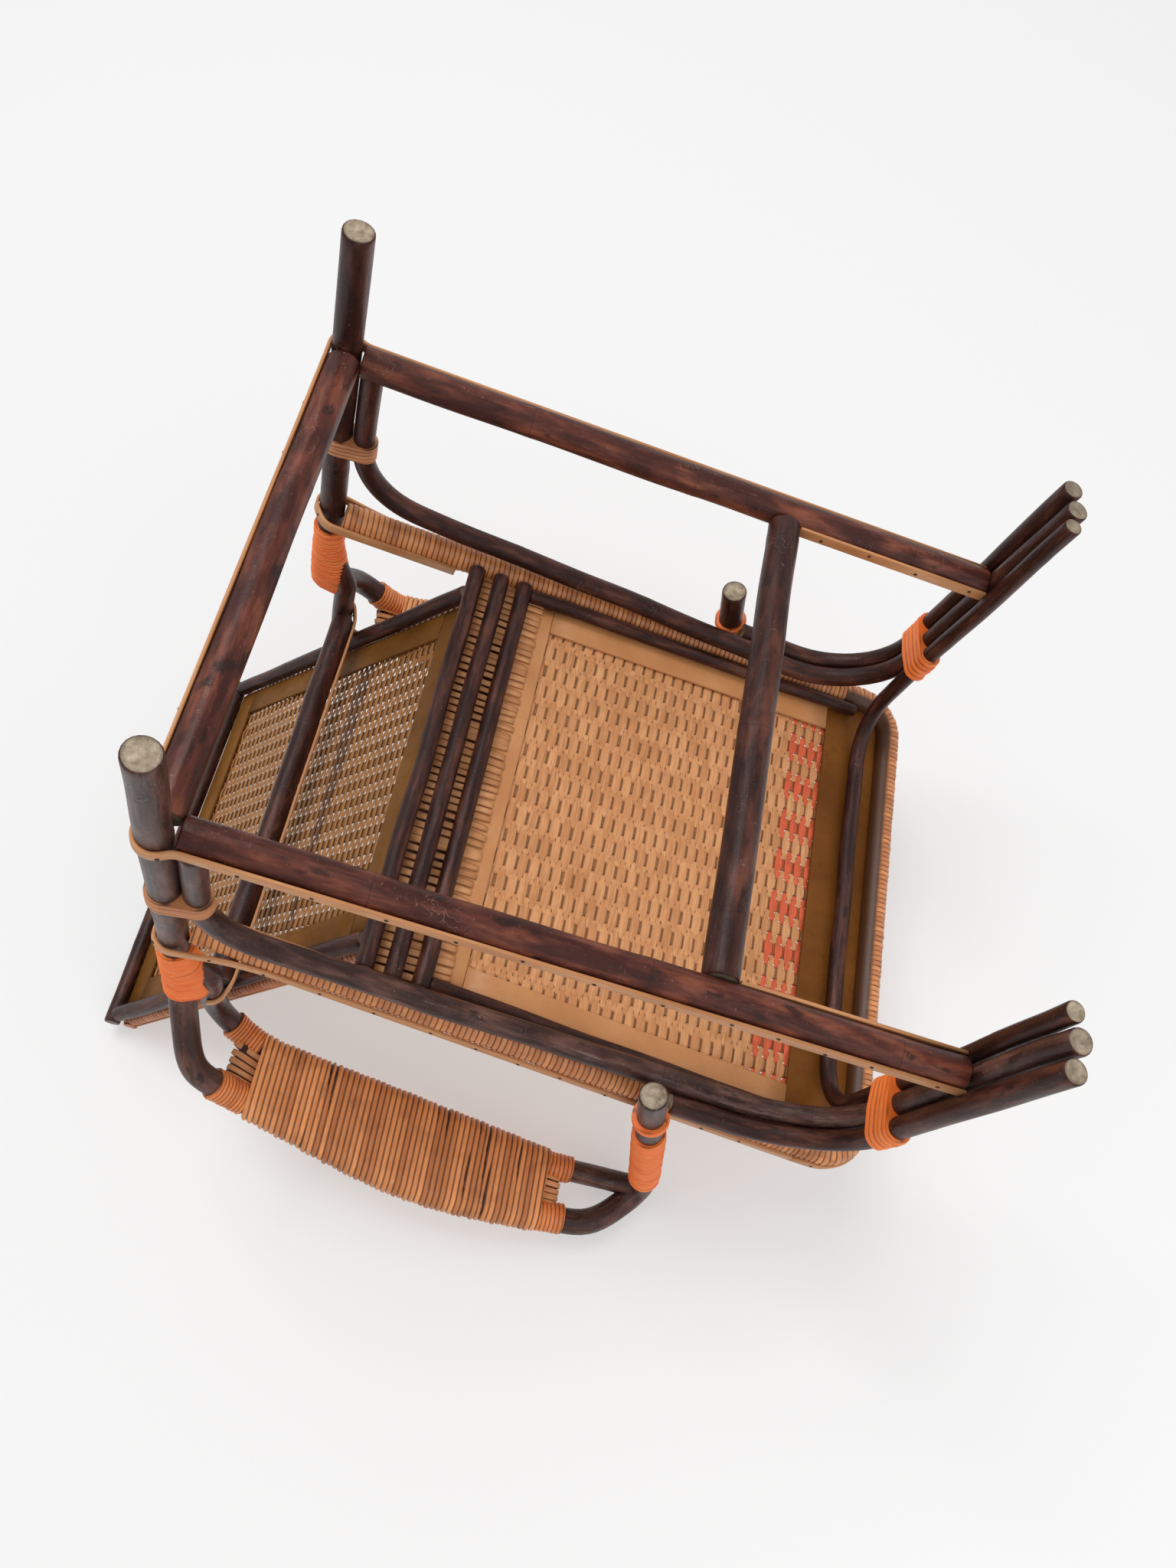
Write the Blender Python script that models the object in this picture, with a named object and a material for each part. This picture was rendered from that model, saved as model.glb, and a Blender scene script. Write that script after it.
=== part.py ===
"""Rattan armchair: bent poles, lashed joints, flat cane strips, woven seat and back.

Metres, +Z up. The front faces -Y, the sitter's left is +X, and the feet stand on z = 0.
Places are worked out from the line between the rear feet; the whole chair is then moved so that
its origin lies on the floor below its middle.
"""
import math

import bmesh
import bpy
from mathutils import Matrix, Vector
from mathutils.geometry import intersect_point_line

# Gaps and steps
CLEAR = 0.0003            # gap kept between pieces that touch
BEND_STEP = 0.26          # radians of bend between two points of a pole
LEAST_BEND_STEPS = 2
LEAST_MITRE = 0.5         # cosine that limits a strip's mitred corners
POLE_SIDES = 4            # bevel resolution of the poles, 12 sides
RIM_POINTS = 16           # points tested round a pole's cut end
REACH_STEP = 0.002        # step by which a pole's end is moved until it meets another pole
REACH_HALVINGS = 16

# Pole diameters
ARM_POLE_D = 0.025
INNER_RAIL_D = 0.022
SIDE_HOOP_D = 0.0195
BRACE_D = 0.0185
FRONT_HOOP_D = 0.0158
SIDE_STRETCHER_D = 0.026
REAR_STRETCHER_D = 0.027
MIDDLE_STRETCHER_D = 0.028
SEAT_RAIL_D = 0.025
SEAT_BAR_D = 0.016
SEAT_SIDE_POLE_D = 0.014
BACK_POLE_D = 0.017
BACK_FRONT_POLE_D = 0.012
CROSS_RAIL_D = 0.023

# Flat cane strips and woven sheets
STRIP_THICK = 0.003
STRIP_WIDE = 0.011
BORDER_THICK = 0.003
PANEL_THICK = 0.004
WEAVE_RISE = 0.0019       # from the dips of a woven sheet to its rises
WEAVE_BLOCK = 0.029

# Driving sizes: the side rails' half spread and height at the posts, and the arms' height
SEAT_REAR_HALF = 0.2135
SEAT_HEIGHT = 0.322
ARM_HEIGHT = 0.573

# Rear posts: place at the floor, and lean per metre of height
FOOT_FLAT = 0.004         # upright run that squares each foot to the floor
POST_FOOT_OUT = 0.0065    # beyond the side rails
POST_FOOT_Y = 0.0
POST_LEAN_X_RATIO = 0.009
POST_LEAN_Y_RATIO = -0.048

# Arms: the outer rail's corners, outwards from the side rails at the posts, and its bends
POST_TOP_SHARE = 0.53     # of the way from seat to arm, where the post turns outwards
ARM_RISE_OUT = 0.0745
ARM_RISE_Y = -0.051
ARM_RISE_BELOW = 0.043
ARM_REAR_OUT = 0.0795
ARM_REAR_Y = -0.104
ARM_MID_OUT = 0.1245
ARM_MID_Y = -0.280
ARM_FRONT_OUT = 0.1175
ARM_FRONT_Y = -0.468
ARM_TIP_OUT = 0.0715
ARM_TIP_Y = -0.518
POST_BEND = 0.050
ARM_RISE_BEND = 0.060
ARM_REAR_BEND = 0.060
ARM_MID_BEND = 0.420
ARM_FRONT_BEND = 0.055
ARM_TIP_BEND = 0.024

# Front drop of the arm pole, which passes the seat's edge and ends below it
DROP_SEAT_Y = -0.447
DROP_END_BELOW = 0.034    # below the side rails at the posts
DROP_CLEAR = 0.0009

# Inner arm rails
INNER_START_ABOVE = 0.118 # above the side rails at the posts
INNER_CLEAR = 0.0008      # gap to the post, kept where the post bends away
INNER_TURN = 0.26         # radians from straight ahead of the post, inwards
INNER_REAR_OUT = 0.0325
INNER_REAR_Y = -0.118
INNER_FRONT_OUT = 0.0705
INNER_FRONT_Y = -0.420
INNER_POST_BEND = 0.056
INNER_REAR_BEND = 0.060
INNER_FRONT_BEND = 0.100

# Front legs: the side hoop's foot, and the spacing of the poles beside it
LEG_FOOT_OUT = 0.011
LEG_FOOT_Y = -0.605
LEG_TOP_Y = -0.606
BRACE_FOOT_STEP = 0.021
FRONT_HOOP_FOOT_STEP = 0.019
FOOT_STAGGER = 0.004
BRACE_RUN_SHARE = 0.1     # how far along the seat's side the brace's straight run is sure to reach
LEG_BEND = 0.085
FRONT_HOOP_BEND = 0.055
SIDE_HOOP_REAR_BEND = 0.070
SIDE_HOOP_INSET = 0.012
SIDE_HOOP_REAR_DROP = 0.012

# Stretchers
STRETCHER_Z = 0.119
SIDE_HOOP_END_ABOVE = 0.031
STRETCHER_POST_INSET = 0.006
STRETCHER_LEG_INSET = 0.001
MIDDLE_STRETCHER_Y = -0.399

# Seat: slope, plan and build-up
SEAT_SLOPE_RATIO = 0.090
SEAT_FLARE_RATIO = 0.054
SEAT_FRONT = 0.637
SEAT_CORNER_BEND = 0.036
SEAT_CORNER_JOIN = 0.575
SEAT_PANEL_RISE = 0.008
TRIM_RISE = 0.0065
TRIM_KNEE = 0.060
TRIM_INNER_END = 0.132
BACK_BAR_AT = 0.152
SEAT_BAR_STEP = 0.0247
REAR_BORDER_WIDE = 0.030
SIDE_BORDER_WIDE = 0.036
FRONT_BORDER_START = 0.562
FRONT_HOOP_AT = 0.598

# Back: plan, length along the slope and build-up
BACK_FLARE_RATIO = 0.066  # gain in half width per metre of length
BACK_SIDE_CLEAR = 0.0008  # gap to the inner arm rails where they pass the back
BACK_LENGTH = 0.472
BACK_BORDER_WIDE = 0.030
BACK_PANEL_START = 0.017
CROSS_RAIL_BELOW = 0.080  # below the arms
CROSS_RAIL_FORWARD = 0.004

# Windings: strand diameter, reach from the seat's side rails or the arms, and turns
STRAND_D = 0.0044
PAD_LOOPS = 24
PAD_LOOP_POINTS = 12
PAD_REAR_Y = -0.084
PAD_FRONT_Y = -0.428
POST_WRAP_ABOVE = 0.036
POST_WRAP_END_SHARE = 0.41
POST_WRAP_PITCH = 0.0056
POST_WRAP_POINTS = 9
POST_WRAP_SLOPE = 0.045   # over which the binding swells towards the inner rail's end
POST_WRAP_SWELL = 0.45    # of the way from the post to the rail, at the binding's end
LEG_WRAP_TURNS = 5
LEG_WRAP_POINTS = 14
LEG_WRAP_BELOW = 0.098
LEG_WRAP_LENGTH = 0.030
DROP_WRAP_ABOVE = 0.064
DROP_WRAP_BELOW_ARM = 0.053
DROP_WRAP_PITCH = 0.0165
DROP_WRAP_POINTS = 8
TIE_TURNS = 3
TIE_POINTS = 12
TIE_BELOW = 0.106
TIE_LENGTH = 0.022

# Finishes: linear colour and roughness
FINISHES = {
    "dark_pole": ((0.060, 0.032, 0.026), 0.45),
    "red_pole": ((0.120, 0.045, 0.030), 0.40),
    "pale_strip": ((0.520, 0.290, 0.140), 0.50),
    "orange_cane": ((0.700, 0.200, 0.040), 0.40),
    "pad_cane": ((0.480, 0.200, 0.060), 0.42),
    "wrapped_cane": ((0.450, 0.210, 0.080), 0.48),
    "weave": ((0.450, 0.260, 0.120), 0.60),
}

# Radii and steps worked out from the sizes above
ARM_R = ARM_POLE_D / 2
INNER_R = INNER_RAIL_D / 2
SIDE_HOOP_R = SIDE_HOOP_D / 2
BRACE_R = BRACE_D / 2
FRONT_HOOP_R = FRONT_HOOP_D / 2
RAIL_R = SEAT_RAIL_D / 2
BAR_R = SEAT_BAR_D / 2
SIDE_POLE_R = SEAT_SIDE_POLE_D / 2
BACK_R = BACK_POLE_D / 2
BACK_FRONT_R = BACK_FRONT_POLE_D / 2
CROSS_R = CROSS_RAIL_D / 2
STRAND_R = STRAND_D / 2
STRIP_OFF = CLEAR + STRIP_THICK / 2
SLOPE_ANGLE = math.atan(SEAT_SLOPE_RATIO)
SIDES = {"left": 1, "right": -1}

# Places worked out from the driving sizes
POST_FOOT_X = SEAT_REAR_HALF + POST_FOOT_OUT
ARM_RISE_X = SEAT_REAR_HALF + ARM_RISE_OUT
ARM_REAR_X = SEAT_REAR_HALF + ARM_REAR_OUT
ARM_MID_X = SEAT_REAR_HALF + ARM_MID_OUT
ARM_FRONT_X = SEAT_REAR_HALF + ARM_FRONT_OUT
ARM_TIP_X = SEAT_REAR_HALF + ARM_TIP_OUT
INNER_REAR_X = SEAT_REAR_HALF + INNER_REAR_OUT
INNER_FRONT_X = SEAT_REAR_HALF + INNER_FRONT_OUT
LEG_FOOT_X = SEAT_REAR_HALF + LEG_FOOT_OUT
SEAT_TO_ARM = ARM_HEIGHT - SEAT_HEIGHT
POST_TOP_Z = SEAT_HEIGHT + SEAT_TO_ARM * POST_TOP_SHARE
ARM_RISE_Z = ARM_HEIGHT - ARM_RISE_BELOW
CROSS_RAIL_Z = ARM_HEIGHT - CROSS_RAIL_BELOW
DROP_END_Z = SEAT_HEIGHT - DROP_END_BELOW
INNER_START_Z = SEAT_HEIGHT + INNER_START_ABOVE
SIDE_HOOP_END_Z = STRETCHER_Z + SIDE_HOOP_END_ABOVE
POST_WRAP_START = SEAT_HEIGHT + POST_WRAP_ABOVE
POST_WRAP_END = SEAT_HEIGHT + SEAT_TO_ARM * POST_WRAP_END_SHARE
POST_WRAP_TURNS = math.floor((POST_WRAP_END - POST_WRAP_START) / POST_WRAP_PITCH)
LEG_WRAP_START = SEAT_HEIGHT - LEG_WRAP_BELOW
LEG_WRAP_END = LEG_WRAP_START + LEG_WRAP_LENGTH
DROP_WRAP_START = SEAT_HEIGHT + DROP_WRAP_ABOVE
DROP_WRAP_END = ARM_HEIGHT - DROP_WRAP_BELOW_ARM
DROP_WRAP_TURNS = math.floor((DROP_WRAP_END - DROP_WRAP_START) / DROP_WRAP_PITCH)
TIE_START = SEAT_HEIGHT - TIE_BELOW
TIE_END = TIE_START + TIE_LENGTH


def clear_scene():
    for item in list(bpy.data.objects):
        bpy.data.objects.remove(item)


def new_collection(name):
    group = bpy.data.collections.new(name)
    bpy.context.scene.collection.children.link(group)
    return group


clear_scene()
CHAIR = new_collection("rattan_armchair")
CHAIR_FRAME = bpy.data.objects.new("chair_frame", None)
CHAIR.objects.link(CHAIR_FRAME)


def finish(item, kind):
    """Gives an object its own material from the finish table."""
    colour, rough = FINISHES[kind]
    material = bpy.data.materials.new(item.name + "_" + kind)
    material.use_nodes = True
    shader = material.node_tree.nodes["Principled BSDF"]
    shader.inputs["Base Color"].default_value = (*colour, 1.0)
    shader.inputs["Roughness"].default_value = rough
    shader.inputs["Metallic"].default_value = 0.0
    item.data.materials.append(material)


def add_empty(name, matrix):
    item = bpy.data.objects.new(name, None)
    CHAIR.objects.link(item)
    item.parent = CHAIR_FRAME
    item.matrix_basis = matrix
    return item


def tube(name, points, radius, kind, resolution=POLE_SIDES):
    """A round pole or strand along world points, with filled ends."""
    data = bpy.data.curves.new(name, "CURVE")
    data.dimensions = "3D"
    data.bevel_depth = radius
    data.bevel_resolution = resolution
    data.use_fill_caps = True
    line = data.splines.new("POLY")
    line.points.add(len(points) - 1)
    for spot, point in zip(line.points, points):
        spot.co = (*point, 1.0)
    item = bpy.data.objects.new(name, data)
    CHAIR.objects.link(item)
    item.parent = CHAIR_FRAME
    finish(item, kind)
    return item


def plate(name, outline, thick, kind, location, parent=CHAIR_FRAME):
    """A flat outline in its own XY plane, given half its thickness to each side."""
    data = bpy.data.curves.new(name, "CURVE")
    data.dimensions = "2D"
    data.fill_mode = "BOTH"
    data.extrude = thick / 2
    line = data.splines.new("POLY")
    line.points.add(len(outline) - 1)
    for spot, point in zip(line.points, outline):
        spot.co = (point[0], point[1], 0.0, 1.0)
    line.use_cyclic_u = True
    item = bpy.data.objects.new(name, data)
    CHAIR.objects.link(item)
    item.parent = parent
    item.location = location
    finish(item, kind)
    return item


def woven_plate(name, stops, location, parent):
    """A sheet of cane through places with known half widths, whose blocks rise and dip in turn.
    The block at its middle is level."""
    rows = stops[:1]
    for (start, wide_start), (end, wide_end) in zip(stops, stops[1:]):
        steps = round((end - start) / WEAVE_BLOCK)
        for step in range(1, steps + 1):
            share = step / steps
            rows.append((start + (end - start) * share, wide_start + (wide_end - wide_start) * share))
    columns = math.floor(max(half for _, half in stops) / WEAVE_BLOCK) * 2 + 1
    middle = len(rows) // 2
    thick = PANEL_THICK - WEAVE_RISE
    sheet = bmesh.new()
    bmesh.ops.create_grid(sheet, x_segments=columns, y_segments=len(rows) - 1, size=1.0)
    for vertex in sheet.verts:
        column = math.floor(abs(vertex.co.x) * columns / 2)
        row = round((vertex.co.y + 1) / 2 * (len(rows) - 1))
        place, half = rows[row]
        level = column == 0 and row in (middle, middle + 1)
        rise = WEAVE_RISE / 2 if level or (row + column) % 2 else -WEAVE_RISE / 2
        vertex.co = (vertex.co.x * half, place, rise - thick / 2)
    upper = bmesh.ops.extrude_face_region(sheet, geom=sheet.faces[:])["geom"]
    lifted = [part for part in upper if isinstance(part, bmesh.types.BMVert)]
    bmesh.ops.translate(sheet, vec=(0.0, 0.0, thick), verts=lifted)
    bmesh.ops.recalc_face_normals(sheet, faces=sheet.faces[:])
    data = bpy.data.meshes.new(name)
    sheet.to_mesh(data)
    sheet.free()
    item = bpy.data.objects.new(name, data)
    CHAIR.objects.link(item)
    item.parent = parent
    item.location = location
    finish(item, "weave")
    return item


def ribbon(path, thick):
    """Outline of a band of even thickness along a plan path, with mitred corners."""
    left = []
    right = []
    for index, point in enumerate(path):
        before = path[max(index - 1, 0)]
        after = path[min(index + 1, len(path) - 1)]
        into = (point - before) if index else (after - point)
        out = (after - point) if index < len(path) - 1 else into
        into = into.normalized()
        out = out.normalized()
        mean = (into + out).normalized()
        normal = Vector((-mean.y, mean.x))
        reach_out = thick / 2 / max(mean.dot(into), LEAST_MITRE)
        left.append(point + normal * reach_out)
        right.append(point - normal * reach_out)
    return left + right[::-1]


def bent(corners, radii):
    """Points of a pole through its corners, each rounded by an arc of the given radius."""
    points = [corners[0].copy()]
    for before, corner, after, radius in zip(corners, corners[1:], corners[2:], radii):
        into = (corner - before).normalized()
        out = (after - corner).normalized()
        turn = into.angle(out)
        side = (out - into * into.dot(out)).normalized()
        start = corner - into * radius * math.tan(turn / 2)
        centre = start + side * radius
        steps = max(LEAST_BEND_STEPS, math.ceil(turn / BEND_STEP))
        for step in range(steps + 1):
            angle = turn * step / steps
            points.append(centre + (into * math.sin(angle) - side * math.cos(angle)) * radius)
    points.append(corners[-1].copy())
    return points


def on_floor(points):
    """A pole's points with an upright run added below its first point, down to the floor."""
    return [Vector((points[0].x, points[0].y, 0.0))] + points


def distance_to_path(point, path):
    least = math.inf
    for start, end in zip(path, path[1:]):
        share = min(max(intersect_point_line(point, start, end)[1], 0.0), 1.0)
        least = min(least, (point - start.lerp(end, share)).length)
    return least


def reach(start, toward, radius, obstacles, limit=1.0):
    """The farthest end of a pole from start, square-cut, that clears the other poles."""
    along = (toward - start).normalized()
    across = along.orthogonal().normalized()
    other = along.cross(across)
    turns = [2 * math.pi * step / RIM_POINTS for step in range(RIM_POINTS)]
    rim = [(across * math.cos(a) + other * math.sin(a)) * radius for a in turns] + [Vector()]

    def is_clear(length):
        face = [start + along * length + spot for spot in rim]
        return all(distance_to_path(spot, path) >= size + CLEAR
                   for path, size in obstacles for spot in face)

    low = 0.0
    while low + REACH_STEP < limit and is_clear(low + REACH_STEP):
        low += REACH_STEP
    high = low + REACH_STEP
    for _ in range(REACH_HALVINGS):
        middle = (low + high) / 2
        if is_clear(middle):
            low = middle
        else:
            high = middle
    return start + along * low


def mirrored(points, side):
    return [Vector((point[0] * side, *point[1:])) for point in points]


def post_at(z):
    return Vector((POST_FOOT_X + POST_LEAN_X_RATIO * z, POST_FOOT_Y + POST_LEAN_Y_RATIO * z, z))


SEAT = Matrix.Translation((0.0, post_at(SEAT_HEIGHT).y, SEAT_HEIGHT)) @ Matrix.Rotation(-SLOPE_ANGLE, 4, "X")


def rail_x(forward):
    return SEAT_REAR_HALF + SEAT_FLARE_RATIO * forward


def seat_point(x, forward, rise):
    """World place of a point on the sloping seat: across, forward of the posts, above the rails."""
    return SEAT @ Vector((x, -forward, rise))


def post_on_seat(rise):
    """Where the post's axis crosses the seat's own plane at a rise above the rails."""
    low = SEAT.inverted() @ post_at(0.0)
    high = SEAT.inverted() @ post_at(1.0)
    share = (rise - low.z) / (high.z - low.z)
    return low.lerp(high, share).to_2d()


# Heights on the seat, measured square to it from the side rails' axis
PANEL_LOW = SEAT_PANEL_RISE - PANEL_THICK / 2
BORDER_RISE = PANEL_LOW - CLEAR - BORDER_THICK / 2
BORDER_LOW = BORDER_RISE - BORDER_THICK / 2
SIDE_POLE_RISE = BORDER_LOW - CLEAR - SIDE_POLE_R
SEAT_DEPTH = max(RAIL_R, SIDE_POLE_R - SIDE_POLE_RISE)
SIDE_HOOP_RISE = -(SEAT_DEPTH + CLEAR + SIDE_HOOP_R)
BRACE_RISE = -(SEAT_DEPTH + CLEAR + BRACE_R)
FRONT_HOOP_RISE = BORDER_LOW - CLEAR - FRONT_HOOP_R
BAR_RISE = -BAR_R
BAR_PLACES = [BACK_BAR_AT + SEAT_BAR_STEP * step for step in range(3)]
TRIM_OFF = RAIL_R + STRIP_OFF
FORWARD_OF_LEG = (post_at(SEAT_HEIGHT).y - LEG_TOP_Y) / math.cos(SLOPE_ANGLE)


def arm_path():
    """Left arm pole: rear foot, post, outer arm rail, and the drop that ends below the seat."""
    forward = (post_at(SEAT_HEIGHT).y - DROP_SEAT_Y) / math.cos(SLOPE_ANGLE)
    edge = rail_x(forward) + TRIM_OFF + STRIP_THICK / 2
    level = seat_point(0.0, forward, TRIM_RISE).z
    tip = Vector((ARM_TIP_X, ARM_TIP_Y, ARM_HEIGHT))
    passing = Vector((edge + ARM_R + DROP_CLEAR, DROP_SEAT_Y, level))
    end = tip.lerp(passing, (ARM_HEIGHT - DROP_END_Z) / (ARM_HEIGHT - level))
    corners = [
        post_at(FOOT_FLAT),
        post_at(POST_TOP_Z),
        Vector((ARM_RISE_X, ARM_RISE_Y, ARM_RISE_Z)),
        Vector((ARM_REAR_X, ARM_REAR_Y, ARM_HEIGHT)),
        Vector((ARM_MID_X, ARM_MID_Y, ARM_HEIGHT)),
        Vector((ARM_FRONT_X, ARM_FRONT_Y, ARM_HEIGHT)),
        tip,
        end,
    ]
    bends = [POST_BEND, ARM_RISE_BEND, ARM_REAR_BEND, ARM_MID_BEND, ARM_FRONT_BEND, ARM_TIP_BEND]
    return on_floor(bent(corners, bends)), tip, end


ARM_PATH, DROP_TOP, DROP_END = arm_path()


def drop_at(z):
    return DROP_TOP.lerp(DROP_END, (DROP_TOP.z - z) / (DROP_TOP.z - DROP_END.z))


def inner_at(z):
    """The inner arm rail rises beside the post, in front of it and a little inside."""
    gap = ARM_R + INNER_R + INNER_CLEAR
    return post_at(z) - Vector((math.sin(INNER_TURN), math.cos(INNER_TURN), 0.0)) * gap


def inner_path():
    front = Vector((INNER_FRONT_X, INNER_FRONT_Y, ARM_HEIGHT))
    ahead = front + Vector((0.0, -1.0, 0.0))
    end = reach(front, ahead, INNER_R, [(ARM_PATH, ARM_R)])
    corners = [
        inner_at(INNER_START_Z),
        inner_at(ARM_HEIGHT),
        Vector((INNER_REAR_X, INNER_REAR_Y, ARM_HEIGHT)),
        front,
        end,
    ]
    bend = min(INNER_FRONT_BEND, (front - end).length)
    return bent(corners, [INNER_POST_BEND, INNER_REAR_BEND, bend])


INNER_PATH = inner_path()


def behind_side_hoop(z):
    """The side hoop's rear leg comes down just in front of the post."""
    return post_at(z) + Vector((0.0, -(ARM_R + SIDE_HOOP_R + 2 * CLEAR), 0.0))


HOOP_CORNER = seat_point(rail_x(FORWARD_OF_LEG) - SIDE_HOOP_INSET, FORWARD_OF_LEG, SIDE_HOOP_RISE)
BRACE_STEP = SIDE_HOOP_R + BRACE_R + CLEAR
FRONT_HOOP_STEP = SIDE_HOOP_R + FRONT_HOOP_R + CLEAR


def side_hoop_path():
    rear_forward = (post_at(SEAT_HEIGHT).y - behind_side_hoop(SEAT_HEIGHT).y) / math.cos(SLOPE_ANGLE)
    rear_z = seat_point(0.0, rear_forward, SIDE_HOOP_RISE).z - SIDE_HOOP_REAR_DROP
    corners = [
        behind_side_hoop(SIDE_HOOP_END_Z),
        behind_side_hoop(rear_z),
        HOOP_CORNER,
        Vector((LEG_FOOT_X, LEG_FOOT_Y, FOOT_FLAT)),
    ]
    return on_floor(bent(corners[::-1], [LEG_BEND, SIDE_HOOP_REAR_BEND])), corners[1]


SIDE_HOOP_PATH, HOOP_REAR_CORNER = side_hoop_path()


def brace_path():
    """Outer pole of the front leg, which runs back beside the side hoop to the arm's drop."""
    shift = Vector((BRACE_STEP, 0.0, 0.0))
    lift = SEAT.to_3x3() @ Vector((0.0, 0.0, BRACE_RISE - SIDE_HOOP_RISE))
    corner = HOOP_CORNER + shift + lift
    rear = HOOP_REAR_CORNER + shift + lift
    start = corner.lerp(rear, BRACE_RUN_SHARE)
    end = reach(start, rear, BRACE_R, [(ARM_PATH, ARM_R)])
    foot = Vector((LEG_FOOT_X + BRACE_FOOT_STEP, LEG_FOOT_Y + FOOT_STAGGER, FOOT_FLAT))
    return on_floor(bent([foot, corner, end], [LEG_BEND]))


BRACE_PATH = brace_path()


def front_hoop_path():
    """U-shaped inner pole of both front legs, which crosses below the seat's front edge."""
    crossing = seat_point(0.0, FRONT_HOOP_AT, FRONT_HOOP_RISE)
    top = Vector((HOOP_CORNER.x - FRONT_HOOP_STEP, crossing.y, crossing.z))
    foot = Vector((LEG_FOOT_X - FRONT_HOOP_FOOT_STEP, LEG_FOOT_Y + FOOT_STAGGER, FOOT_FLAT))
    corners = [foot, top, *mirrored([top, foot], -1)]
    hoop = on_floor(bent(corners, [FRONT_HOOP_BEND, FRONT_HOOP_BEND]))
    return on_floor(hoop[::-1])


FRONT_HOOP_PATH = front_hoop_path()


def section(path, axis, place, radius):
    """Where a pole first crosses a place on axis 1 (y) or 2 (z), and its radius as cut there."""
    for start, end in zip(path, path[1:]):
        step = end[axis] - start[axis]
        if step and 0 <= (place - start[axis]) / step <= 1:
            share = (place - start[axis]) / step
            return start.lerp(end, share), radius * (end - start).length / abs(step)
    raise ValueError("the pole does not reach that place")


def least_self_gap(points, turn_points):
    """Least gap of a wound strand to its own other turns, measured on its points."""
    apart = turn_points // 2 + 1
    pairs = ((a, b) for index, a in enumerate(points) for b in points[index + apart:])
    return min((a - b).length for a, b in pairs) - STRAND_D


def winding(name, poles, start, end, turns, turn_points, kind, side):
    """One unbroken strand wound round a bundle of poles.

    poles(share) gives the bundle's section there: centres with radii, and two axes across it.
    The strand's corners lie where neighbouring tangents of the bundle meet.
    """
    away = STRAND_R + CLEAR
    count = turns * turn_points
    half = math.pi / turn_points
    points = []
    for index in range(count + 1):
        share = start + (end - start) * index / count
        section, first, second = poles(share)
        origin = section[0][0]

        def tangent_at(angle):
            out = first * math.cos(angle) + second * math.sin(angle)
            return max((centre - origin).dot(out) + radius for centre, radius in section) + away

        angle = 2 * half * index
        before = tangent_at(angle - half)
        after = tangent_at(angle + half)
        out = first * math.cos(angle) + second * math.sin(angle)
        along = second * math.cos(angle) - first * math.sin(angle)
        points.append(origin + out * (before + after) / (2 * math.cos(half))
                      + along * (after - before) / (2 * math.sin(half)))
    gap = least_self_gap(points, turn_points)
    print(f"{name}: {turns} turns, least gap to itself {gap * 1000:.2f} mm")
    return tube(name, mirrored(points, side), STRAND_R, kind, resolution=0)


def post_wrap_section(z):
    """The post, with a swell that grows towards the inner rail's end just beyond the binding."""
    post = section(ARM_PATH, 2, z, ARM_R)
    share = POST_WRAP_SWELL * max(1.0 - (POST_WRAP_END - z) / POST_WRAP_SLOPE, 0.0)
    return [post, (post[0].lerp(inner_at(z), share), INNER_R)], Vector((1, 0, 0)), Vector((0, 1, 0))


def tie_section(z):
    poles = [section(ARM_PATH, 2, z, ARM_R), section(SIDE_HOOP_PATH[::-1], 2, z, SIDE_HOOP_R)]
    return poles, Vector((1, 0, 0)), Vector((0, 1, 0))


def leg_wrap_section(z):
    poles = [section(SIDE_HOOP_PATH, 2, z, SIDE_HOOP_R), section(BRACE_PATH, 2, z, BRACE_R),
             section(FRONT_HOOP_PATH[::-1], 2, z, FRONT_HOOP_R)]
    return poles, Vector((1, 0, 0)), Vector((0, 1, 0))


def drop_wrap_section(z):
    along = (DROP_TOP - DROP_END).normalized()
    first = Vector((0, -1, 0)).cross(along).normalized()
    return [(drop_at(z), ARM_R)], first, along.cross(first)


def pad_section(y):
    poles = [section(ARM_PATH, 1, y, ARM_R), section(INNER_PATH, 1, y, INNER_R)]
    return poles, Vector((1, 0, 0)), Vector((0, 0, 1))


def make_poles():
    for word, side in SIDES.items():
        tube("arm_hoop_" + word, mirrored(ARM_PATH, side), ARM_R, "dark_pole")
        tube("inner_arm_rail_" + word, mirrored(INNER_PATH, side), INNER_R, "dark_pole")
        tube("side_hoop_" + word, mirrored(SIDE_HOOP_PATH, side), SIDE_HOOP_R, "dark_pole")
        tube("outer_brace_" + word, mirrored(BRACE_PATH, side), BRACE_R, "dark_pole")
    tube("front_hoop", FRONT_HOOP_PATH, FRONT_HOOP_R, "dark_pole")


def make_windings():
    for word, side in SIDES.items():
        winding("arm_pad_" + word, pad_section, PAD_REAR_Y, PAD_FRONT_Y,
                PAD_LOOPS, PAD_LOOP_POINTS, "pad_cane", side)
        winding("post_wrap_" + word, post_wrap_section, POST_WRAP_START, POST_WRAP_END,
                POST_WRAP_TURNS, POST_WRAP_POINTS, "orange_cane", side)
        winding("leg_wrap_" + word, leg_wrap_section, LEG_WRAP_START, LEG_WRAP_END,
                LEG_WRAP_TURNS, LEG_WRAP_POINTS, "orange_cane", side)
        winding("drop_wrap_" + word, drop_wrap_section, DROP_WRAP_START, DROP_WRAP_END,
                DROP_WRAP_TURNS, DROP_WRAP_POINTS, "orange_cane", side)
        winding("post_tie_" + word, tie_section, TIE_START, TIE_END,
                TIE_TURNS, TIE_POINTS, "pale_strip", side)


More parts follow.
